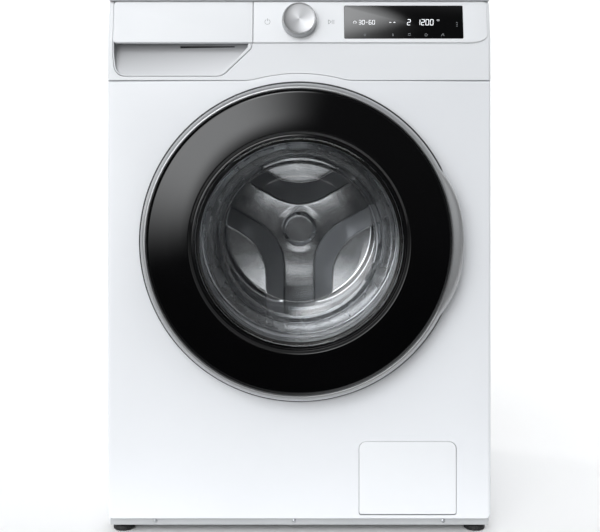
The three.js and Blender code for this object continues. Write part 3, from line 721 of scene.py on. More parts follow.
def fascia():
    """The panel behind the leaning band and below it, as one beam across the machine."""
    edge = 6 * MM
    recess = 1.3 * MM
    back = 20 * MM
    stations = []
    for side in (-1, 1):
        row = []
        for k in range(7):
            turn = math.pi / 2 * k / 6
            row.append((side * (HALF - edge * (1 - math.sin(turn))), edge * (1 - math.cos(turn))))
        stations += sorted(row)
    loops = []
    top = BAND_TOP - 1 * MM
    for x, push in stations:
        lean_y = lambda z: LIP_Y - FRONT + recess + (z - LIP_Z) * math.tan(BAND_LEAN)
        section = [(push + 0.8 * MM, PANEL_BOTTOM), (push, PANEL_BOTTOM + 0.8 * MM), (push, LIP_Z + 1 * MM)]
        section += [(lean_y(z) + push + 0.6 * MM, z) for z in (LIP_Z + 9 * MM, 0.80, top - 3 * MM)]
        section += [(lean_y(top) + push + 2 * MM, top), (back + push, top), (back + push, PANEL_BOTTOM)]
        loops.append([(x, FRONT + d, z) for d, z in section])
    obj = finish_mesh("fascia_beam", loops_mesh(loops), "cabinet", "white_plastic",
                      replaces=["control_panel"])
    arch = arch_points(PANEL_BOTTOM + 0.01 * MM, ARCH_R + 0.6 * MM)
    arch += [(-ARCH_HALF, 0.66), (ARCH_HALF, 0.66)]
    carve(obj, prism(arch, -10 * MM, 40 * MM, on_front),
          prism(seam_outline(0.7 * MM), -10 * MM, 40 * MM, on_front))


def band_plate():
    """The raised leaning plate that carries the knob and the display."""
    left = DRAWER_HIGH.x + 0.7 * MM
    right = 294.2 * MM
    outline = [(left, BAND_LENGTH), (left, 0.0)]
    for i in range(13):
        turn = math.pi / 2 * i / 12
        outline.append((right - 27 * MM * (1 - math.sin(turn)), 13 * MM * (1 - math.cos(turn))))
    outline += fillet([(left, 0), (right, 0), (right, BAND_LENGTH, 6 * MM), (left, BAND_LENGTH)])[2:-1]
    obj = finish_mesh("band_plate", rim_plate(outline, 4 * MM, 1.4 * MM, on_band), "cabinet",
                      "white_plastic")
    knob_z = (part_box("selector_knob")[0].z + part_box("selector_knob")[1].z) / 2
    holes = circle(8 * MM, 0, up_band(knob_z), 32), rectangle(*display_edges(0.25 * MM), 2.2 * MM)
    carve(obj, *(prism(hole, -2 * MM, 8 * MM, on_band) for hole in holes))


def display_edges(margin):
    low, high = up_band(774.4 * MM), up_band(827.6 * MM)
    return DISPLAY_LOW.x - margin, DISPLAY_HIGH.x + margin, low - margin, high + margin


SEGMENTS = {
    "0": "abcdef", "1": "bc", "2": "abged", "3": "abgcd", "6": "afgedc", "-": "g",
}


def bar(bm, u0, v0, u1, v1, width, depth):
    """A flat stroke from one point to another, with pointed ends, proud of the band."""
    a, b = Vector((u0, v0)), Vector((u1, v1))
    along = (b - a).normalized()
    side = Vector((-along.y, along.x)) * width / 2
    tip = along * width / 2
    outline = [a, a + tip + side, b - tip + side, b, b - tip - side, a + tip - side]
    near = [bm.verts.new(on_band(p.x, p.y, depth)) for p in outline]
    far = [bm.verts.new(on_band(p.x, p.y, depth + 0.12 * MM)) for p in outline]
    bm.faces.new(near)
    bm.faces.new(far)
    for i in range(6):
        j = (i + 1) % 6
        bm.faces.new([near[i], near[j], far[j], far[i]])


def digit(bm, character, u, v, wide, tall, width, depth):
    """A seven segment figure that leans a little."""
    half = tall / 2
    lines = {
        "a": (0, tall, wide, tall), "b": (wide, tall, wide, half), "c": (wide, half, wide, 0),
        "d": (0, 0, wide, 0), "e": (0, half, 0, 0), "f": (0, tall, 0, half), "g": (0, half, wide, half),
    }
    lean = 0.06
    for key in SEGMENTS[character]:
        a, b, c, d = lines[key]
        bar(bm, u + a + b * lean, v + b, u + c + d * lean, v + d, width, depth)


def text_row(bm, text, u, v, wide, tall, pitch, width, depth):
    for i, character in enumerate(text):
        digit(bm, character, u + i * pitch, v, wide, tall, width, depth)


def arc_strokes(bm, u, v, radius, start, end, width, depth, steps=14):
    """An arc in degrees, as short strokes that overlap a little."""
    for i in range(steps):
        a = math.radians(start + (end - start) * i / steps)
        b = math.radians(start + (end - start) * (i + 1.15) / steps)
        bar(bm, u + radius * math.cos(a), v + radius * math.sin(a), u + radius * math.cos(b),
            v + radius * math.sin(b), width, depth)


def display():
    """The black window with its lit figures and dim icons."""
    outline = rectangle(*display_edges(0.0), 2.0 * MM)
    proud = lambda u, v, d: on_band(u, v, d - 0.2 * MM)
    finish_mesh("display_glass", rim_plate(outline, 2.9 * MM, 0.4 * MM, proud), "cabinet", "black_gloss",
                replaces=["display_window"])
    face = -0.26 * MM
    bright = bmesh.new()
    base = up_band(796.2 * MM)
    text_row(bright, "30-60", 93 * MM, base + 1.2 * MM, 3.6 * MM, 6.6 * MM, 5.3 * MM, 0.72 * MM, face)
    arc_strokes(bright, 87 * MM, base + 4.4 * MM, 2.2 * MM, -60, 240, 0.8 * MM, face)
    text_row(bright, "--", 140.5 * MM, base, 3.6 * MM, 8.6 * MM, 6.4 * MM, 1.0 * MM, face)
    text_row(bright, "2", 169 * MM, base, 4.6 * MM, 9 * MM, 6 * MM, 0.95 * MM, face)
    text_row(bright, "1200", 184 * MM, base, 4.6 * MM, 9 * MM, 6.9 * MM, 0.95 * MM, face)
    for radius in (1.6, 3.2):
        arc_strokes(bright, 217.5 * MM, up_band(801.5 * MM), radius * MM, 45, 135, 0.7 * MM, face, 6)
    white = glowing("display_white", (0.85, 0.87, 0.9), 0.55)
    finish_mesh("display_figures", bright, "cabinet", "black_gloss", white)
    dim = bmesh.new()
    row = up_band(780.3 * MM)
    arc_strokes(dim, 102.4 * MM, row, 1.2 * MM, 0, 360, 1.2 * MM, face)
    bar(dim, 146.3 * MM, row - 2.4 * MM, 146.3 * MM, row + 2.4 * MM, 1.1 * MM, face)
    arc_strokes(dim, 172 * MM, row + 1 * MM, 2.2 * MM, 200, 340, 0.8 * MM, face)
    bar(dim, 170 * MM, row + 2 * MM, 174 * MM, row + 2 * MM, 0.7 * MM, face)
    arc_strokes(dim, 198 * MM, row, 2.1 * MM, 0, 360, 0.7 * MM, face)
    bar(dim, 221.5 * MM, row - 2 * MM, 224.5 * MM, row + 2.2 * MM, 0.8 * MM, face)
    bar(dim, 224.5 * MM, row + 2.2 * MM, 226 * MM, row - 2 * MM, 0.8 * MM, face)
    for step in (-3, 0, 3):
        level = up_band(797.4 * MM) + step * MM
        bar(dim, 245.3 * MM, level, 247.9 * MM, level, 0.8 * MM, face)
    grey = glowing("display_dim", (0.2, 0.21, 0.22), 0.16)
    finish_mesh("display_icons", dim, "cabinet", "black_gloss", grey)


def touch_symbols():
    """Two printed symbols: power, and start or pause."""
    ink = bmesh.new()
    up = up_band(801.3 * MM)
    face = -0.06 * MM
    arc_strokes(ink, -49.7 * MM, up, 4.1 * MM, 115, 425, 0.85 * MM, face, 20)
    bar(ink, -49.7 * MM, up + 1.2 * MM, -49.7 * MM, up + 5.6 * MM, 0.85 * MM, face)
    left, tall = 45.6 * MM, 3.6 * MM
    bar(ink, left, up - tall, left, up + tall, 0.8 * MM, face)
    bar(ink, left, up + tall, left + 4.6 * MM, up, 0.8 * MM, face)
    bar(ink, left, up - tall, left + 4.6 * MM, up, 0.8 * MM, face)
    for x in (51.6 * MM, 54.2 * MM):
        bar(ink, x, up - tall, x, up + tall, 0.8 * MM, face)
    grey = surface("printed_ink", (0.28, 0.29, 0.3), 0.5)
    finish_mesh("touch_symbols", ink, "cabinet", "white_plastic", grey)


def knob():
    """A silver shell round a spun metal face, in a frame whose +Z comes straight out of the band."""
    centre = Vector(on_band(0, up_band(802 * MM), 0))
    own = Matrix.Translation(centre) @ Matrix.Rotation(math.pi / 2 - BAND_LEAN, 4, "X")
    side = fillet([
        (27.2, 0.6), (27.2, 2.4, 0.8), (26.5, 12.6, 1.0), (25.9, 14.2, 0.5), (25.1, 14.7, 0.4),
        (24.2, 14.2), (24.2, 12.0), (23.0, 12.0), (23.0, 0.6),
    ])
    face = [
        (0.0, 13.2), (6, 13.25), (12, 13.4), (18, 13.7), (22.5, 14.05), (23.9, 14.25), (24.15, 14.0),
        (24.15, 11.0), (0.0, 11.0),
    ]
    finish_mesh("knob_shell", turned_up(metres(side + [side[0]]), 128), "knob", "silver_trim",
                own_frame=own, replaces=["selector_knob"])
    finish_mesh("knob_face", turned_up(metres(face), 128), "knob", "spun_metal", own_frame=own)


# ---- detergent drawer ----
def drawer_face():
    """The front on the band, and below it the grip with its hollow and a slot under the band, both darkened
    with painted shade.
    """
    left, right = DRAWER_LOW.x, DRAWER_HIGH.x
    outline = fillet([(left, 0, 6 * MM), (right, 0), (right, BAND_LENGTH), (left, BAND_LENGTH, 6 * MM)])
    finish_mesh("drawer_band", rim_plate(outline, 6 * MM, 1.4 * MM, on_band), "drawer", "white_plastic",
                replaces=["drawer_front"])
    top = LIP_Z + 4 * MM
    bottom = DRAWER_LOW.z
    block_outline = fillet([
        (left, top), (left, LIP_Z - 20 * MM), (left + 3 * MM, bottom, 18 * MM), (-121 * MM, bottom, 22 * MM),
        (right - 3 * MM, LIP_Z - 9 * MM, 5 * MM), (right, LIP_Z + 2 * MM), (right, top),
    ])
    grip = finish_mesh("drawer_grip", rim_plate(block_outline, 20 * MM, 0.9 * MM, on_front, steps=3),
                       "drawer", "white_plastic")
    inner = fillet([
        (left + 1.2 * MM, top + 2 * MM), (left + 1.4 * MM, LIP_Z - 18 * MM),
        (left + 5 * MM, bottom + 2 * MM, 16 * MM), (-122 * MM, bottom + 2 * MM, 18 * MM),
        (right - 8 * MM, LIP_Z - 7 * MM, 3 * MM), (right - 6 * MM, top + 2 * MM),
    ])
    carve(grip, scoop(inner, bottom + 1 * MM, top + 2 * MM))
    slot = [(x * MM, LIP_Z - down * MM) for x, down in ((-188, 6.0), (-102, 4.4), (-102, 2.6), (-188, 2.6))]
    carve(grip, prism(slot, 8 * MM, 19.5 * MM, on_front))
    # The hollow's faces get the moulding with painted shade.
    grip.data.materials.append(drawer_well_painted_shade())
    grip.data.materials.append(LOOKS["dark_plastic"])
    slot_floor_shade_outline = inset(slot, [-0.4 * MM] * 4)
    for polygon in grip.data.polygons:
        x, y, z = polygon.center
        # Faces deep in the slot are painted dark plastic, as painted shade in the slot.
        if y > FRONT + 18.1 * MM and inside(slot_floor_shade_outline, x, z):
            polygon.material_index = 2
        elif FRONT + 1.0 * MM < y < FRONT + 19 * MM and inside(inner, x, z):
            polygon.material_index = 1


def inside(outline, x, z):
    """Whether an outline encloses a point."""
    crossings = 0
    for (x0, z0), (x1, z1) in zip(outline, outline[1:] + outline[:1]):
        if (z0 > z) != (z1 > z) and x < x0 + (z - z0) * (x1 - x0) / (z1 - z0):
            crossings += 1
    return crossings % 2 == 1


def scoop(outline, bottom, top):
    """The hollow under the band: it deepens upwards, with its wall rounded into the floor."""
    def depth(z):
        share = min(1.0, max(0.0, (z - bottom) / (top - bottom)))
        return 1.5 * MM + 16.5 * MM * math.sin(share * math.pi / 2) ** 1.15

    rings = []
    for k in range(7):
        share = k / 6
        pulled = inset(outline, [1.6 * MM * (1 - math.cos(share * math.pi / 2))] * len(outline))
        sink = 0.72 + 0.28 * math.sin(share * math.pi / 2)
        rings.append([(u, FRONT + (depth(v) * sink if k else 0), v) for u, v in pulled])
    front = [(u, FRONT - 6 * MM, v) for u, v in outline]
    bm = loops_mesh([front] + rings)
    for i in range(1, 14):
        level = bottom + (top - bottom) * i / 14
        everything = bm.verts[:] + bm.edges[:] + bm.faces[:]
        bmesh.ops.bisect_plane(bm, geom=everything, plane_co=(0, 0, level), plane_no=(0, 0, 1))
    return bm


# ---- door ----
def handle_share(turn, inner, outer):
    """1 within the inner angle of the handle's middle at the right, and 0 beyond the outer angle."""
    degrees = abs(math.degrees(math.atan2(math.sin(turn), math.cos(turn))))
    share = min(1.0, max(0.0, (outer - degrees) / (outer - inner)))
    return 1 - (1 - share) ** 2


def door_ring():
    """The silver ring, whose flank bulges at the right into a grip, and a dark plastic rim behind it that
    also gives the door's shadow gap as painted shade.
    """
    plain = [
        (244.0, 12.6), (244.4, 14.0), (244.6, 17), (244.4, 23), (243.4, 29.5), (241.6, 35.0),
        (239.7, 38.6), (237.7, 40.8), (235.8, 41.7), (234.4, 41.3), (233.8, 39.8), (233.6, 33.2),
        (236.8, 33.2), (240.6, 28.2), (242.8, 20), (243.3, 12.6),
    ]
    grip = [
        (242.6, 12.6), (243.4, 14.0), (244.4, 20.4), (249.0, 21.4), (251.6, 23.5), (251.8, 31.5),
        (250.4, 33.8), (243.4, 37.6), (236.4, 41.2), (234.6, 41.5), (233.8, 39.8), (233.6, 29.5),
        (237.5, 29.5), (241.0, 25), (242.0, 18), (242.0, 12.6),
    ]
    finish_mesh("door_ring", swept_ring(plain, grip), "door", "silver_trim", replaces=["door_trim"],
                angle=50)
    # A dark plastic rim that also stands in for the shadow gap round the door, as painted shade.
    plain = [
        (243.8, 8), (247.6, 8.0), (248.3, 8.8), (248.3, 12.4), (247.4, 13.6), (245.6, 14.0), (243.8, 14.0),
    ]
    grip = [(240, 8), (242.6, 8.0), (243.2, 8.8), (243.2, 12.0), (243.0, 13.0), (242.4, 13.4), (240, 13.4)]
    finish_mesh("door_rear_rim_gap_shade", swept_ring(plain, grip), "door", "dark_plastic", angle=50)


def swept_ring(plain, grip):
    """Turned about the door's middle; round the handle its section changes from plain to grip."""
    sides = 360
    loops = []
    for p, g in zip(plain + [plain[0]], grip + [grip[0]]):
        ring = []
        for i in range(sides):
            turn = 2 * math.pi * i / sides
            share = handle_share(turn, HANDLE_FULL, HANDLE_END)
            radius = (p[0] + (g[0] - p[0]) * share) * MM
            out = (p[1] + (g[1] - p[1]) * share) * MM
            ring.append((radius * math.cos(turn), FRONT - out, DOOR_Z + radius * math.sin(turn)))
        loops.append(ring)
    return loops_mesh(loops, caps=False)


def door_black_ring():
    profile = fillet([
        (233.4, 30.0), (233.4, 33.6, 0.6), (229.0, 34.4, 2), (200, 38.0, 200), (169.4, 41.4, 2.5),
        (165.6, 37.6, 0.8), (164.2, 37.4, 0.5), (162.4, 37.8, 0.6), (160.2, 34.2, 0.9), (159.5, 28.4),
        (163, 31.0), (174, 34.4), (205, 33.4), (226, 30.0),
    ], 7)
    finish_mesh("door_black_ring", lathe(metres(profile), DOOR_Z, sides=256), "door", "black_gloss",
                replaces=["door_cover"])


def door_bowl():
    profile = fillet([
        (171.6, 27.3), (171.6, 23.4), (159.5, 22.6, 3), (156.5, 8, 20), (149.6, -20, 60), (141.5, -69, 12),
        (130, -85, 14), (106, -92, 60), (0.0, -95.4), (0.0, -90.4), (105, -87.0, 60), (126.5, -80.6, 9),
        (136.6, -67, 9), (144.8, -18, 60), (150.5, 8, 20), (153.8, 25.4, 1.6), (157.4, 27.3, 1),
    ], 6)
    finish_mesh("door_bowl", lathe(metres(profile), DOOR_Z, sides=224), "door", "door_glass",
                replaces=["door_glass"])


def door_inner():
    profile = fillet([
        (243.2, 8.4), (243.2, 11.4, 1), (229, 11.4, 2), (225, -4, 3), (182, -7, 4), (176.5, 22), (173, 22),
        (173, 18), (178.5, -10, 3), (227, -8, 3), (231, 8.4, 1),
    ], 4)
    obj = finish_mesh("door_inner_cover", lathe(metres(profile), DOOR_Z), "door", "grey_plastic",
                      replaces=["door_inner_frame"])
    rooms = (
        (-250, -186, -34, 34, -13.5, 14),
        (194, 220, -10, 10, -13.5, 14),
        (233, 262, -84, 84, -19, 9),
    )
    for left, right, low, high, near, far in rooms:
        outline = rectangle(left * MM, right * MM, DOOR_Z + low * MM, DOOR_Z + high * MM, 0)
        carve(obj, prism(outline, near * MM, far * MM, on_front))


# ---- drum ----
def lobe_distance(x, z):
    """How far a point lies inside a lobe between two arms of the star; negative on the star."""
    best = None
    for middle in LOBES:
        sides = []
        for arm, sign in ((middle - 60, 1), (middle + 60, -1)):
            a = math.radians(arm)
            sides.append(sign * (-x * math.sin(a) + z * math.cos(a)) - ARM_HALF)
        first, second = sides
        gap = max(0.0, ARM_BLEND - abs(first - second)) / ARM_BLEND
        depth = min(first, second) - gap * gap * ARM_BLEND / 4
        best = depth if best is None else max(best, depth)
    return best


def crease(value, start, end, soft):
    """A ramp from 0 to 1 between start and end whose corners are rounded by soft."""
    def bend(t):
        return (t + math.sqrt(t * t + soft * soft)) / 2

    return (bend(value - start) - bend(value - end)) / (end - start)


def drum_back():
    """The drum's pressed back: a three armed star that stands forward of three lobes, and a hub cap."""
    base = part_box("drum_back")[1].y - 1.2 * MM
    rings, sides = 150, 360
    outer = 239.6 * MM

    def forward(x, z):
        """How far the pressing stands forward at a place measured from the drum's axis."""
        radius = math.hypot(x, z)
        lobe = crease(lobe_distance(x, z), 0, 36 * MM, 1.2 * MM)
        floor = 7.5 * MM * crease(radius, 90 * MM, 146 * MM, 3 * MM)
        lift = 9.5 * MM * crease(radius, 146 * MM, 150 * MM, 1.0 * MM)
        sink = lobe * (17 * MM - floor - lift)
        step = 2 * MM * crease(radius, 158 * MM, 161 * MM, 0.8 * MM)
        collar = 0.8 * MM * crease(radius, 32 * MM, 46 * MM, 2 * MM)
        cone = 1.2 * MM * crease(radius, 50 * MM, 120 * MM, 5 * MM)
        hub = 2.5 * MM * (1 - crease(radius, 28.5 * MM, 31.5 * MM, 1.2 * MM))
        rim = 26 * MM * crease(radius, 196 * MM, 240 * MM, 10 * MM)
        return 18 * MM - sink - step - cone - collar + hub + rim

    loops = [[(0, base - forward(0, 0), DRUM_Z)]]
    for k in range(1, rings + 1):
        ring = circle(outer * k / rings, sides=sides)
        loops.append([(x, base - forward(x, z), DRUM_Z + z) for x, z in ring])
    loops.append([(x, base + 1 * MM, DRUM_Z + z) for x, z in circle(outer, sides=sides)])
    loops.append([(0, base + 1 * MM, DRUM_Z)])
    finish_mesh("drum_star", loops_mesh(loops, caps=False), "drum", "drum_steel", replaces=["drum_back"],
                angle=60)


def drum_shell():
    low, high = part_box("drum_shell")
    near, far = (low.y - FRONT) / MM, (high.y - FRONT) / MM
    r = DRUM_R / MM
    profile = fillet([
        (168, -(near + 8)), (166, -(near + 4), 1.5), (170, -(near + 0.6), 3), (r - 10, -(near + 6), 20),
        (r - 0.5, -(near + 20), 8), (r - 0.5, -far), (r - 1.5, -far), (r - 1.5, -(near + 21), 8),
        (r - 11, -(near + 8), 20), (174, -(near + 3), 2),
    ], 4)
    finish_mesh("drum_wall", lathe(metres(profile), DRUM_Z), "drum", "drum_steel", drum_wall_steel(),
                replaces=["drum_shell"])


def lifters():
    """Three ribs along the drum's wall, one in the middle of each lobe, with rounded ends."""
    root = DRUM_R - 3 * MM
    foot = (50 * MM, math.sqrt(root ** 2 - (50 * MM) ** 2))
    near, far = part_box("drum_lifter_1")[0].y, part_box("drum_lifter_1")[1].y
    stations = 24
    for i, middle in enumerate(LOBES):
        a = math.radians(middle - 90)
        loops = []
        for k in range(stations + 1):
            share = k / stations
            y = near + (far - near) * share
            ends = min(1.0, min(share, 1 - share) / 0.06)
            swell = math.sqrt(max(0.0, 1 - (1 - ends) ** 2))
            tip = (root - 24 * MM) - (46 * MM) * (0.25 + 0.75 * swell)
            half_tip = 9 * MM * (0.5 + 0.5 * swell)
            section = fillet([
                (-foot[0], foot[1]), (-36 * MM, root - 22 * MM, 30 * MM),
                (-half_tip - 6 * MM, tip + 9 * MM, 14 * MM), (0, tip, 12 * MM),
                (half_tip + 6 * MM, tip + 9 * MM, 14 * MM), (36 * MM, root - 22 * MM, 30 * MM), foot,
            ], 4)
            loops.append([(u * math.cos(a) - v * math.sin(a), y, DRUM_Z + u * math.sin(a) + v * math.cos(a))
                          for u, v in section])
        finish_mesh(f"lifter_{i + 1}", loops_mesh(loops), "drum", "lifter_plastic",
                    replaces=[f"drum_lifter_{i + 1}"])


def gasket():
    """The rubber bellows from the front panel, where it stays, to the tub, which its back follows."""
    profile = fillet([
        (163, -11, 2), (178, -11, 1), (178, -13.4), (169.3, -13.4), (169.3, -29, 2), (184, -34, 4),
        (178, -42, 3), (184.5, -50, 4), (180, -64, 2), (180, -74), (177, -74), (177, -64, 1),
        (172, -58, 3), (178, -50, 3), (170, -42, 3), (174, -33, 3), (163, -26, 2),
    ], 3)
    bm = lathe(metres(profile), DOOR_Z, sides=144)
    for vertex in bm.verts:
        share = min(1.0, max(0.0, (vertex.co.y - FRONT - 30 * MM) / (34 * MM)))
        vertex.co.z += share * (DRUM_Z - DOOR_Z)
    obj = free_mesh("gasket_bellows", bm, "grey_rubber", ["door_gasket"])
    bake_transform(obj)


def tube_mesh(path, radius, sides=14):
    """A round tube along a list of points; radius may be a list."""
    loops = []
    count = len(path)
    up = Vector((0, 1, 0))
    for i, point in enumerate(path):
        ahead = (Vector(path[min(i + 1, count - 1)]) - Vector(path[max(i - 1, 0)])).normalized()
        side = ahead.cross(up)
        if side.length < 1e-4:
            side = ahead.cross(Vector((1, 0, 0)))
        side.normalize()
        other = side.cross(ahead).normalized()
        r = radius[i] if isinstance(radius, list) else radius
        loops.append([Vector(point) + side * r * math.cos(2 * math.pi * k / sides)
                      + other * r * math.sin(2 * math.pi * k / sides) for k in range(sides)])
    return loops_mesh(loops)


def springs():
    """Each coil hangs from the cabinet at its top and holds the tub at its bottom."""
    for side in ("left", "right"):
        node = f"spring_{side}"
        low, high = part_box(node)
        x, y = (low.x + high.x) / 2, (low.y + high.y) / 2
        turns, wire, coil = 22, 1.5 * MM, 7 * MM
        bottom, top = low.z + 18 * MM, high.z - 22 * MM
        path = [(x, y, low.z + 1 * MM), (x, y, low.z + 9 * MM)]
        for i in range(turns * 16 + 1):
            turn = 2 * math.pi * i / 16
            grow = min(1.0, i / 12, (turns * 16 - i) / 12)
            path.append((x + coil * grow * math.cos(turn), y + coil * grow * math.sin(turn),
                         bottom + (top - bottom) * i / (turns * 16)))
        path += [(x, y, top + 10 * MM), (x, y, high.z - 1 * MM)]
        obj = free_mesh(f"coil_spring_{side}", tube_mesh(path, wire, 8), "steel", [node])
        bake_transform(obj)


def hoses():
    """Two ribbed hoses, each held by the cabinet at one end and by the tub at the other."""
    low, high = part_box("fill_hose")
    x, y = (low.x + high.x) / 2, (low.y + high.y) / 2
    count = 60
    path = [(x, y, high.z + (low.z - high.z) * i / count) for i in range(count + 1)]
    radii = [10.6 * MM + 1.2 * MM * math.sin(i * 2 * math.pi / 6) for i in range(count + 1)]
    obj = free_mesh("fill_bellows", tube_mesh(path, radii, 28), "black_rubber", ["fill_hose"])
    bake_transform(obj)
    low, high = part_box("sump_hose")
    y_at = lambda depth: FRONT + depth * MM
    knots = [Vector(p) for p in (
        (95 * MM, y_at(180), 212 * MM), (96 * MM, y_at(176), 200 * MM), (110 * MM, y_at(150), 182 * MM),
        (155 * MM, y_at(98), 172 * MM), (169 * MM, y_at(81), 158 * MM), (170 * MM, y_at(80), 141.5 * MM),
    )]
    path = []
    steps = 14
    for i in range(len(knots) - 1):
        p0, p1, p2, p3 = (knots[max(0, min(len(knots) - 1, i + k))] for k in (-1, 0, 1, 2))
        for k in range(steps):
            t = k / steps
            path.append(0.5 * ((2 * p1) + (p2 - p0) * t + (2 * p0 - 5 * p1 + 4 * p2 - p3) * t * t
                               + (3 * p1 - p0 - 3 * p2 + p3) * t ** 3))
    path.append(knots[-1])
    radii = [10.2 * MM + 1.1 * MM * math.sin(i * 2 * math.pi / 5) for i in range(len(path))]
    obj = free_mesh("sump_bellows", tube_mesh(path, radii, 24), "black_rubber", ["sump_hose"])
    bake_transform(obj)


# ---- feet and back ----
def feet():
    """Each foot is a grooved rubber pad on a threaded stem with a lock nut, in a frame on its own axis."""
    for name in ("front_left", "front_right", "rear_left", "rear_right"):
        node = f"foot_{name}"
        low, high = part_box(node)
        body = BODY_OF[node]
        x, y = (low.x + high.x) / 2, (low.y + high.y) / 2
        own = Matrix.Translation((x, y, 0))
        outer = (high.x - low.x) / 2
        profile = [
            (0, 0.0), (outer - 2.2 * MM, 0.0), (outer - 0.5 * MM, 1.2 * MM), (outer, 4.0 * MM),
            (outer - 0.3 * MM, 6.0 * MM), (outer - 2.4 * MM, 8.8 * MM), (outer - 6 * MM, 10.2 * MM),
            (8 * MM, 10.8 * MM), (0, 10.8 * MM),
        ]
        sides = 96
        loops = []
        for r, h in profile:
            if r == 0:
                loops.append([(0, 0, h)])
                continue
            ring = []
            for i in range(sides):
                groove = 0.7 * MM if i % 8 < 2 and 1 * MM < h < 9.5 * MM and r > 12 * MM else 0
                ring.append(((r - groove) * math.cos(2 * math.pi * i / sides),
                             (r - groove) * math.sin(2 * math.pi * i / sides), h))
            loops.append(ring)
        finish_mesh(f"foot_pad_{name}", loops_mesh(loops, caps=False), body, "black_rubber", own_frame=own,
                    replaces=[node])
        threads = []
        count = 70
        for i in range(count + 1):
            h = 10.5 * MM + (high.z - 10.5 * MM) * i / count
            r = 4.9 * MM if i % 2 else 4.3 * MM
            threads.append([(u, v, h) for u, v in circle(r, sides=28)])
        finish_mesh(f"foot_stem_{name}", loops_mesh(threads), body, "steel", own_frame=own)
        hexagon = fillet([(u, v, 1.0 * MM) for u, v in circle(9 * MM, sides=6)], 3)
        nut_place = lambda u, v, d: (u, v, 15.4 * MM - d)
        nut = rim_plate(hexagon, 3.6 * MM, 0.5 * MM, nut_place, back_edge=0.4 * MM)
        finish_mesh(f"foot_nut_{name}", nut, body, "steel", own_frame=own)


def rear_details():
    """Screws round the service cover and the panel's edge, transit hole caps and pressed ribs."""
    cover_low, cover_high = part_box("rear_service_cover")
    centre_z = (cover_low.z + cover_high.z) / 2
    reach = (cover_high.z - cover_low.z) / 2 - 7 * MM
    places = [(x, z, cover_low.y + 2 * MM) for x, z in circle(reach, 0, centre_z, 6)]
    low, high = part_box("rear_panel")
    for z in (low.z + 30 * MM, (low.z + high.z) / 2, high.z - 30 * MM):
        places += [(-272 * MM, z, high.y), (272 * MM, z, high.y)]
    for i, (x, z, y) in enumerate(places):
        head = metres([(0, 2.2), (2.2, 2.0), (3.8, 1.2), (4.2, 0.0), (0, 0.0)])
        bm = lathe([(radius, FRONT - y - back) for radius, back in head], z, x, 24, False)
        finish_mesh(f"rear_screw_{i + 1}", bm, "cabinet", "steel")
    for i, (x, z) in enumerate(((-205, 640), (205, 640), (-205, 190), (205, 190))):
        cap = metres([(0, 4.0), (10, 3.8), (13.4, 3.0), (15, 0.6), (15, 0.0), (0, 0.0)])
        bm = lathe([(radius, FRONT - high.y - back) for radius, back in cap], z * MM, x * MM, 48, False)
        finish_mesh(f"transit_cap_{i + 1}", bm, "cabinet", "grey_plastic")
    for i, (z, half) in enumerate(((90, 230), (120, 230), (620, 150), (650, 150), (730, 150))):
        outline = rectangle(-half * MM, half * MM, (z - 6) * MM, (z + 6) * MM, 5.9 * MM)
        bm = rim_plate(outline, 2.6 * MM, 2.2 * MM, lambda u, v, d: (u, high.y + 2.4 * MM - d, v))
        finish_mesh(f"rear_rib_{i + 1}", bm, "cabinet", "white_paint")


# ---- looks of the CAD nodes that stay ----
def dress_frame():
    for name, obj in frame["nodes"].items():
        obj.data.materials.clear()
        obj.data.materials.append(LOOKS[SLOT_OF[name]])


# ---- stage, lights and camera ----
def stage():
    """A white floor that curves up into a backdrop and greys towards its front edge."""
    n = Nodes("stage_white")
    x, y, z = n.axes()
    n.color(n.tint(n.remap(y, 0, 1, -0.62, -0.3), (0.5, 0.5, 0.5), (0.94, 0.94, 0.94)))
    n.set(Roughness=0.7)
    floor_y = [-0.66, -0.5, 1.0, 2.0, 2.6, 2.9, 3.0, 3.0]
    floor_z = [0.0, 0.0, 0.0, 0.0, 0.15, 0.55, 1.2, 5.0]
    bm = bmesh.new()
    rows = [[bm.verts.new((x, y, z)) for x in (-6.0, 6.0)] for y, z in zip(floor_y, floor_z)]
    for a, b in zip(rows, rows[1:]):
        bm.faces.new([a[0], a[1], b[1], b[0]])
    mesh = bpy.data.meshes.new("backdrop")
    bm.to_mesh(mesh)
    bm.free()
    for polygon in mesh.polygons:
        polygon.use_smooth = True
    mesh.materials.append(n.material)
    obj = bpy.data.objects.new("backdrop", mesh)
    bpy.context.scene.collection.objects.link(obj)


def lamp(name, place, target, width, height, power):
    data = bpy.data.lights.new(name, "AREA")
    data.shape = "RECTANGLE"
    data.size = width
    data.size_y = height
    data.energy = power
    obj = bpy.data.objects.new(name, data)
    obj.location = place
    obj.rotation_euler = (Vector(target) - Vector(place)).to_track_quat("-Z", "Y").to_euler()
    bpy.context.scene.collection.objects.link(obj)
    return obj


def lights():
    """Soft lamps at the left and behind, a fill that leaves no highlight, and small cards that leave some."""
    aim = (0, 0, 0.45)
    lamp("left", (-2.4, -2.4, 2.2), aim, 1.6, 2.2, 9)
    lamp("rear_left", (-2.6, 1.4, 1.8), aim, 1.5, 2.0, 32)
    lamp("rear_right", (2.6, 1.4, 1.8), aim, 1.5, 2.0, 34)
    front = lamp("front", (-0.7, -3.2, 0.55), aim, 2.4, 0.9, 15)
    front.visible_glossy = False
    front.visible_transmission = False
    lamp("strip", (0.003, FRONT - 1.56, 0.632), (0.003, 0, 0.6), 0.46, 0.06, 0.22)
    lamp("thin_strip", (0.003, FRONT - 1.56, 0.58), (0.003, 0, 0.56), 0.46, 0.016, 0.015)
    lamp("low_card", (0, FRONT - 1.6, 0.11), (0, 0, 0.3), 0.34, 0.1, 0.16)
    studio_world()


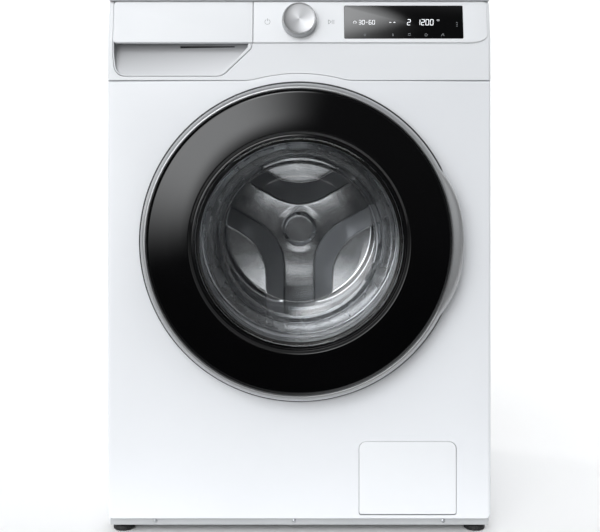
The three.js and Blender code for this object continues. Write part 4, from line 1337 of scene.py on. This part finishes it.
def studio_world():
    """A white studio that is dark in front of the machine, with a soft glow in front at the upper left."""
    world = bpy.data.worlds.new("studio")
    world.use_nodes = True
    tree = world.node_tree
    coordinates = tree.nodes.new("ShaderNodeTexCoord")

    def toward(direction, start, end, low, high):
        dot = tree.nodes.new("ShaderNodeVectorMath")
        dot.operation = "DOT_PRODUCT"
        dot.inputs[1].default_value = Vector(direction).normalized()
        tree.links.new(coordinates.outputs["Generated"], dot.inputs[0])
        ramp = tree.nodes.new("ShaderNodeMapRange")
        ramp.interpolation_type = "SMOOTHSTEP"
        ramp.inputs["From Min"].default_value = math.cos(math.radians(start))
        ramp.inputs["From Max"].default_value = math.cos(math.radians(end))
        ramp.inputs["To Min"].default_value = low
        ramp.inputs["To Max"].default_value = high
        tree.links.new(dot.outputs["Value"], ramp.inputs["Value"])
        return ramp.outputs["Result"]

    def combine(operation, first, second):
        node = tree.nodes.new("ShaderNodeMath")
        node.operation = operation
        tree.links.new(first, node.inputs[0])
        tree.links.new(second, node.inputs[1])
        return node.outputs["Value"]

    level = toward((0, 0, 1), 112, 75, 0.22, 1.0)
    sides = combine("MULTIPLY", toward((0, -1, 0), 88, 52, 0.25, 0.84), level)
    cone = toward((0, -1, 0), 50, 32, 1.0, 0.08)
    # The glow lies between about 15 and 45 degrees off the machine's axis, centred on the upper left.
    inner = toward((0, -1, 0), 12, 18, 0.0, 4.3)
    outer = toward((0, -1, 0), 52, 38, 0.0, 1.0)
    split = tree.nodes.new("ShaderNodeSeparateXYZ")
    tree.links.new(coordinates.outputs["Generated"], split.inputs["Vector"])
    off_axis = tree.nodes.new("ShaderNodeCombineXYZ")
    tree.links.new(split.outputs["X"], off_axis.inputs["X"])
    tree.links.new(split.outputs["Z"], off_axis.inputs["Z"])
    unit = tree.nodes.new("ShaderNodeVectorMath")
    unit.operation = "NORMALIZE"
    tree.links.new(off_axis.outputs["Vector"], unit.inputs[0])
    turn = tree.nodes.new("ShaderNodeVectorMath")
    turn.operation = "DOT_PRODUCT"
    upper_left = math.radians(137)
    turn.inputs[1].default_value = (math.cos(upper_left), 0, math.sin(upper_left))
    tree.links.new(unit.outputs["Vector"], turn.inputs[0])
    around = tree.nodes.new("ShaderNodeMapRange")
    around.interpolation_type = "SMOOTHSTEP"
    around.inputs["From Min"].default_value = 0.42
    around.inputs["From Max"].default_value = 1.0
    tree.links.new(turn.outputs["Value"], around.inputs["Value"])
    wedge = combine("MULTIPLY", around.outputs["Result"], around.outputs["Result"])
    glow = combine("MULTIPLY", combine("MULTIPLY", inner, outer), wedge)
    # A small glow where the leaning band and the knob's face look.
    panel_glow = toward((-0.09, -0.83, 0.55), 11.5, 4, 0.0, 5.0)
    strength = combine("ADD", combine("MULTIPLY", sides, cone), combine("ADD", glow, panel_glow))
    background = tree.nodes["Background"]
    background.inputs["Color"].default_value = (0.97, 0.985, 1.0, 1)
    tree.links.new(strength, background.inputs["Strength"])
    plain = tree.nodes.new("ShaderNodeBackground")
    plain.inputs["Color"].default_value = (1, 1, 1, 1)
    mix = tree.nodes.new("ShaderNodeMixShader")
    tree.links.new(tree.nodes.new("ShaderNodeLightPath").outputs["Is Camera Ray"], mix.inputs["Fac"])
    tree.links.new(background.outputs["Background"], mix.inputs[1])
    tree.links.new(plain.outputs["Background"], mix.inputs[2])
    tree.links.new(mix.outputs["Shader"], tree.nodes["World Output"].inputs["Surface"])
    bpy.context.scene.world = world


def camera():
    """Level, square on, at the height and distance that the perspective of the machine shows."""
    distance, eye_z, lens = 1.5, 0.5226, 57.63
    data = bpy.data.cameras.new("view")
    data.lens = lens
    data.sensor_width = 36
    data.shift_x = 0.0013
    data.shift_y = -0.11
    data.clip_start = 0.05
    data.clip_end = 60
    obj = bpy.data.objects.new("view", data)
    obj.location = (0, FRONT - distance, eye_z)
    obj.rotation_euler = (math.pi / 2, 0, 0)
    bpy.context.scene.collection.objects.link(obj)
    bpy.context.scene.camera = obj


PARTS = (
    camera, lights, stage, dress_frame,
    cabinet_front, door_dish, worktop, base_strip_screws, service_flap,
    fascia, band_plate, display, touch_symbols, knob, drawer_face,
    door_ring, door_black_ring, door_bowl, door_inner,
    drum_back, drum_shell, lifters, gasket, springs, hoses, feet, rear_details,
)
for build in PARTS:
    build()
bpy.context.scene.view_settings.view_transform = "Standard"
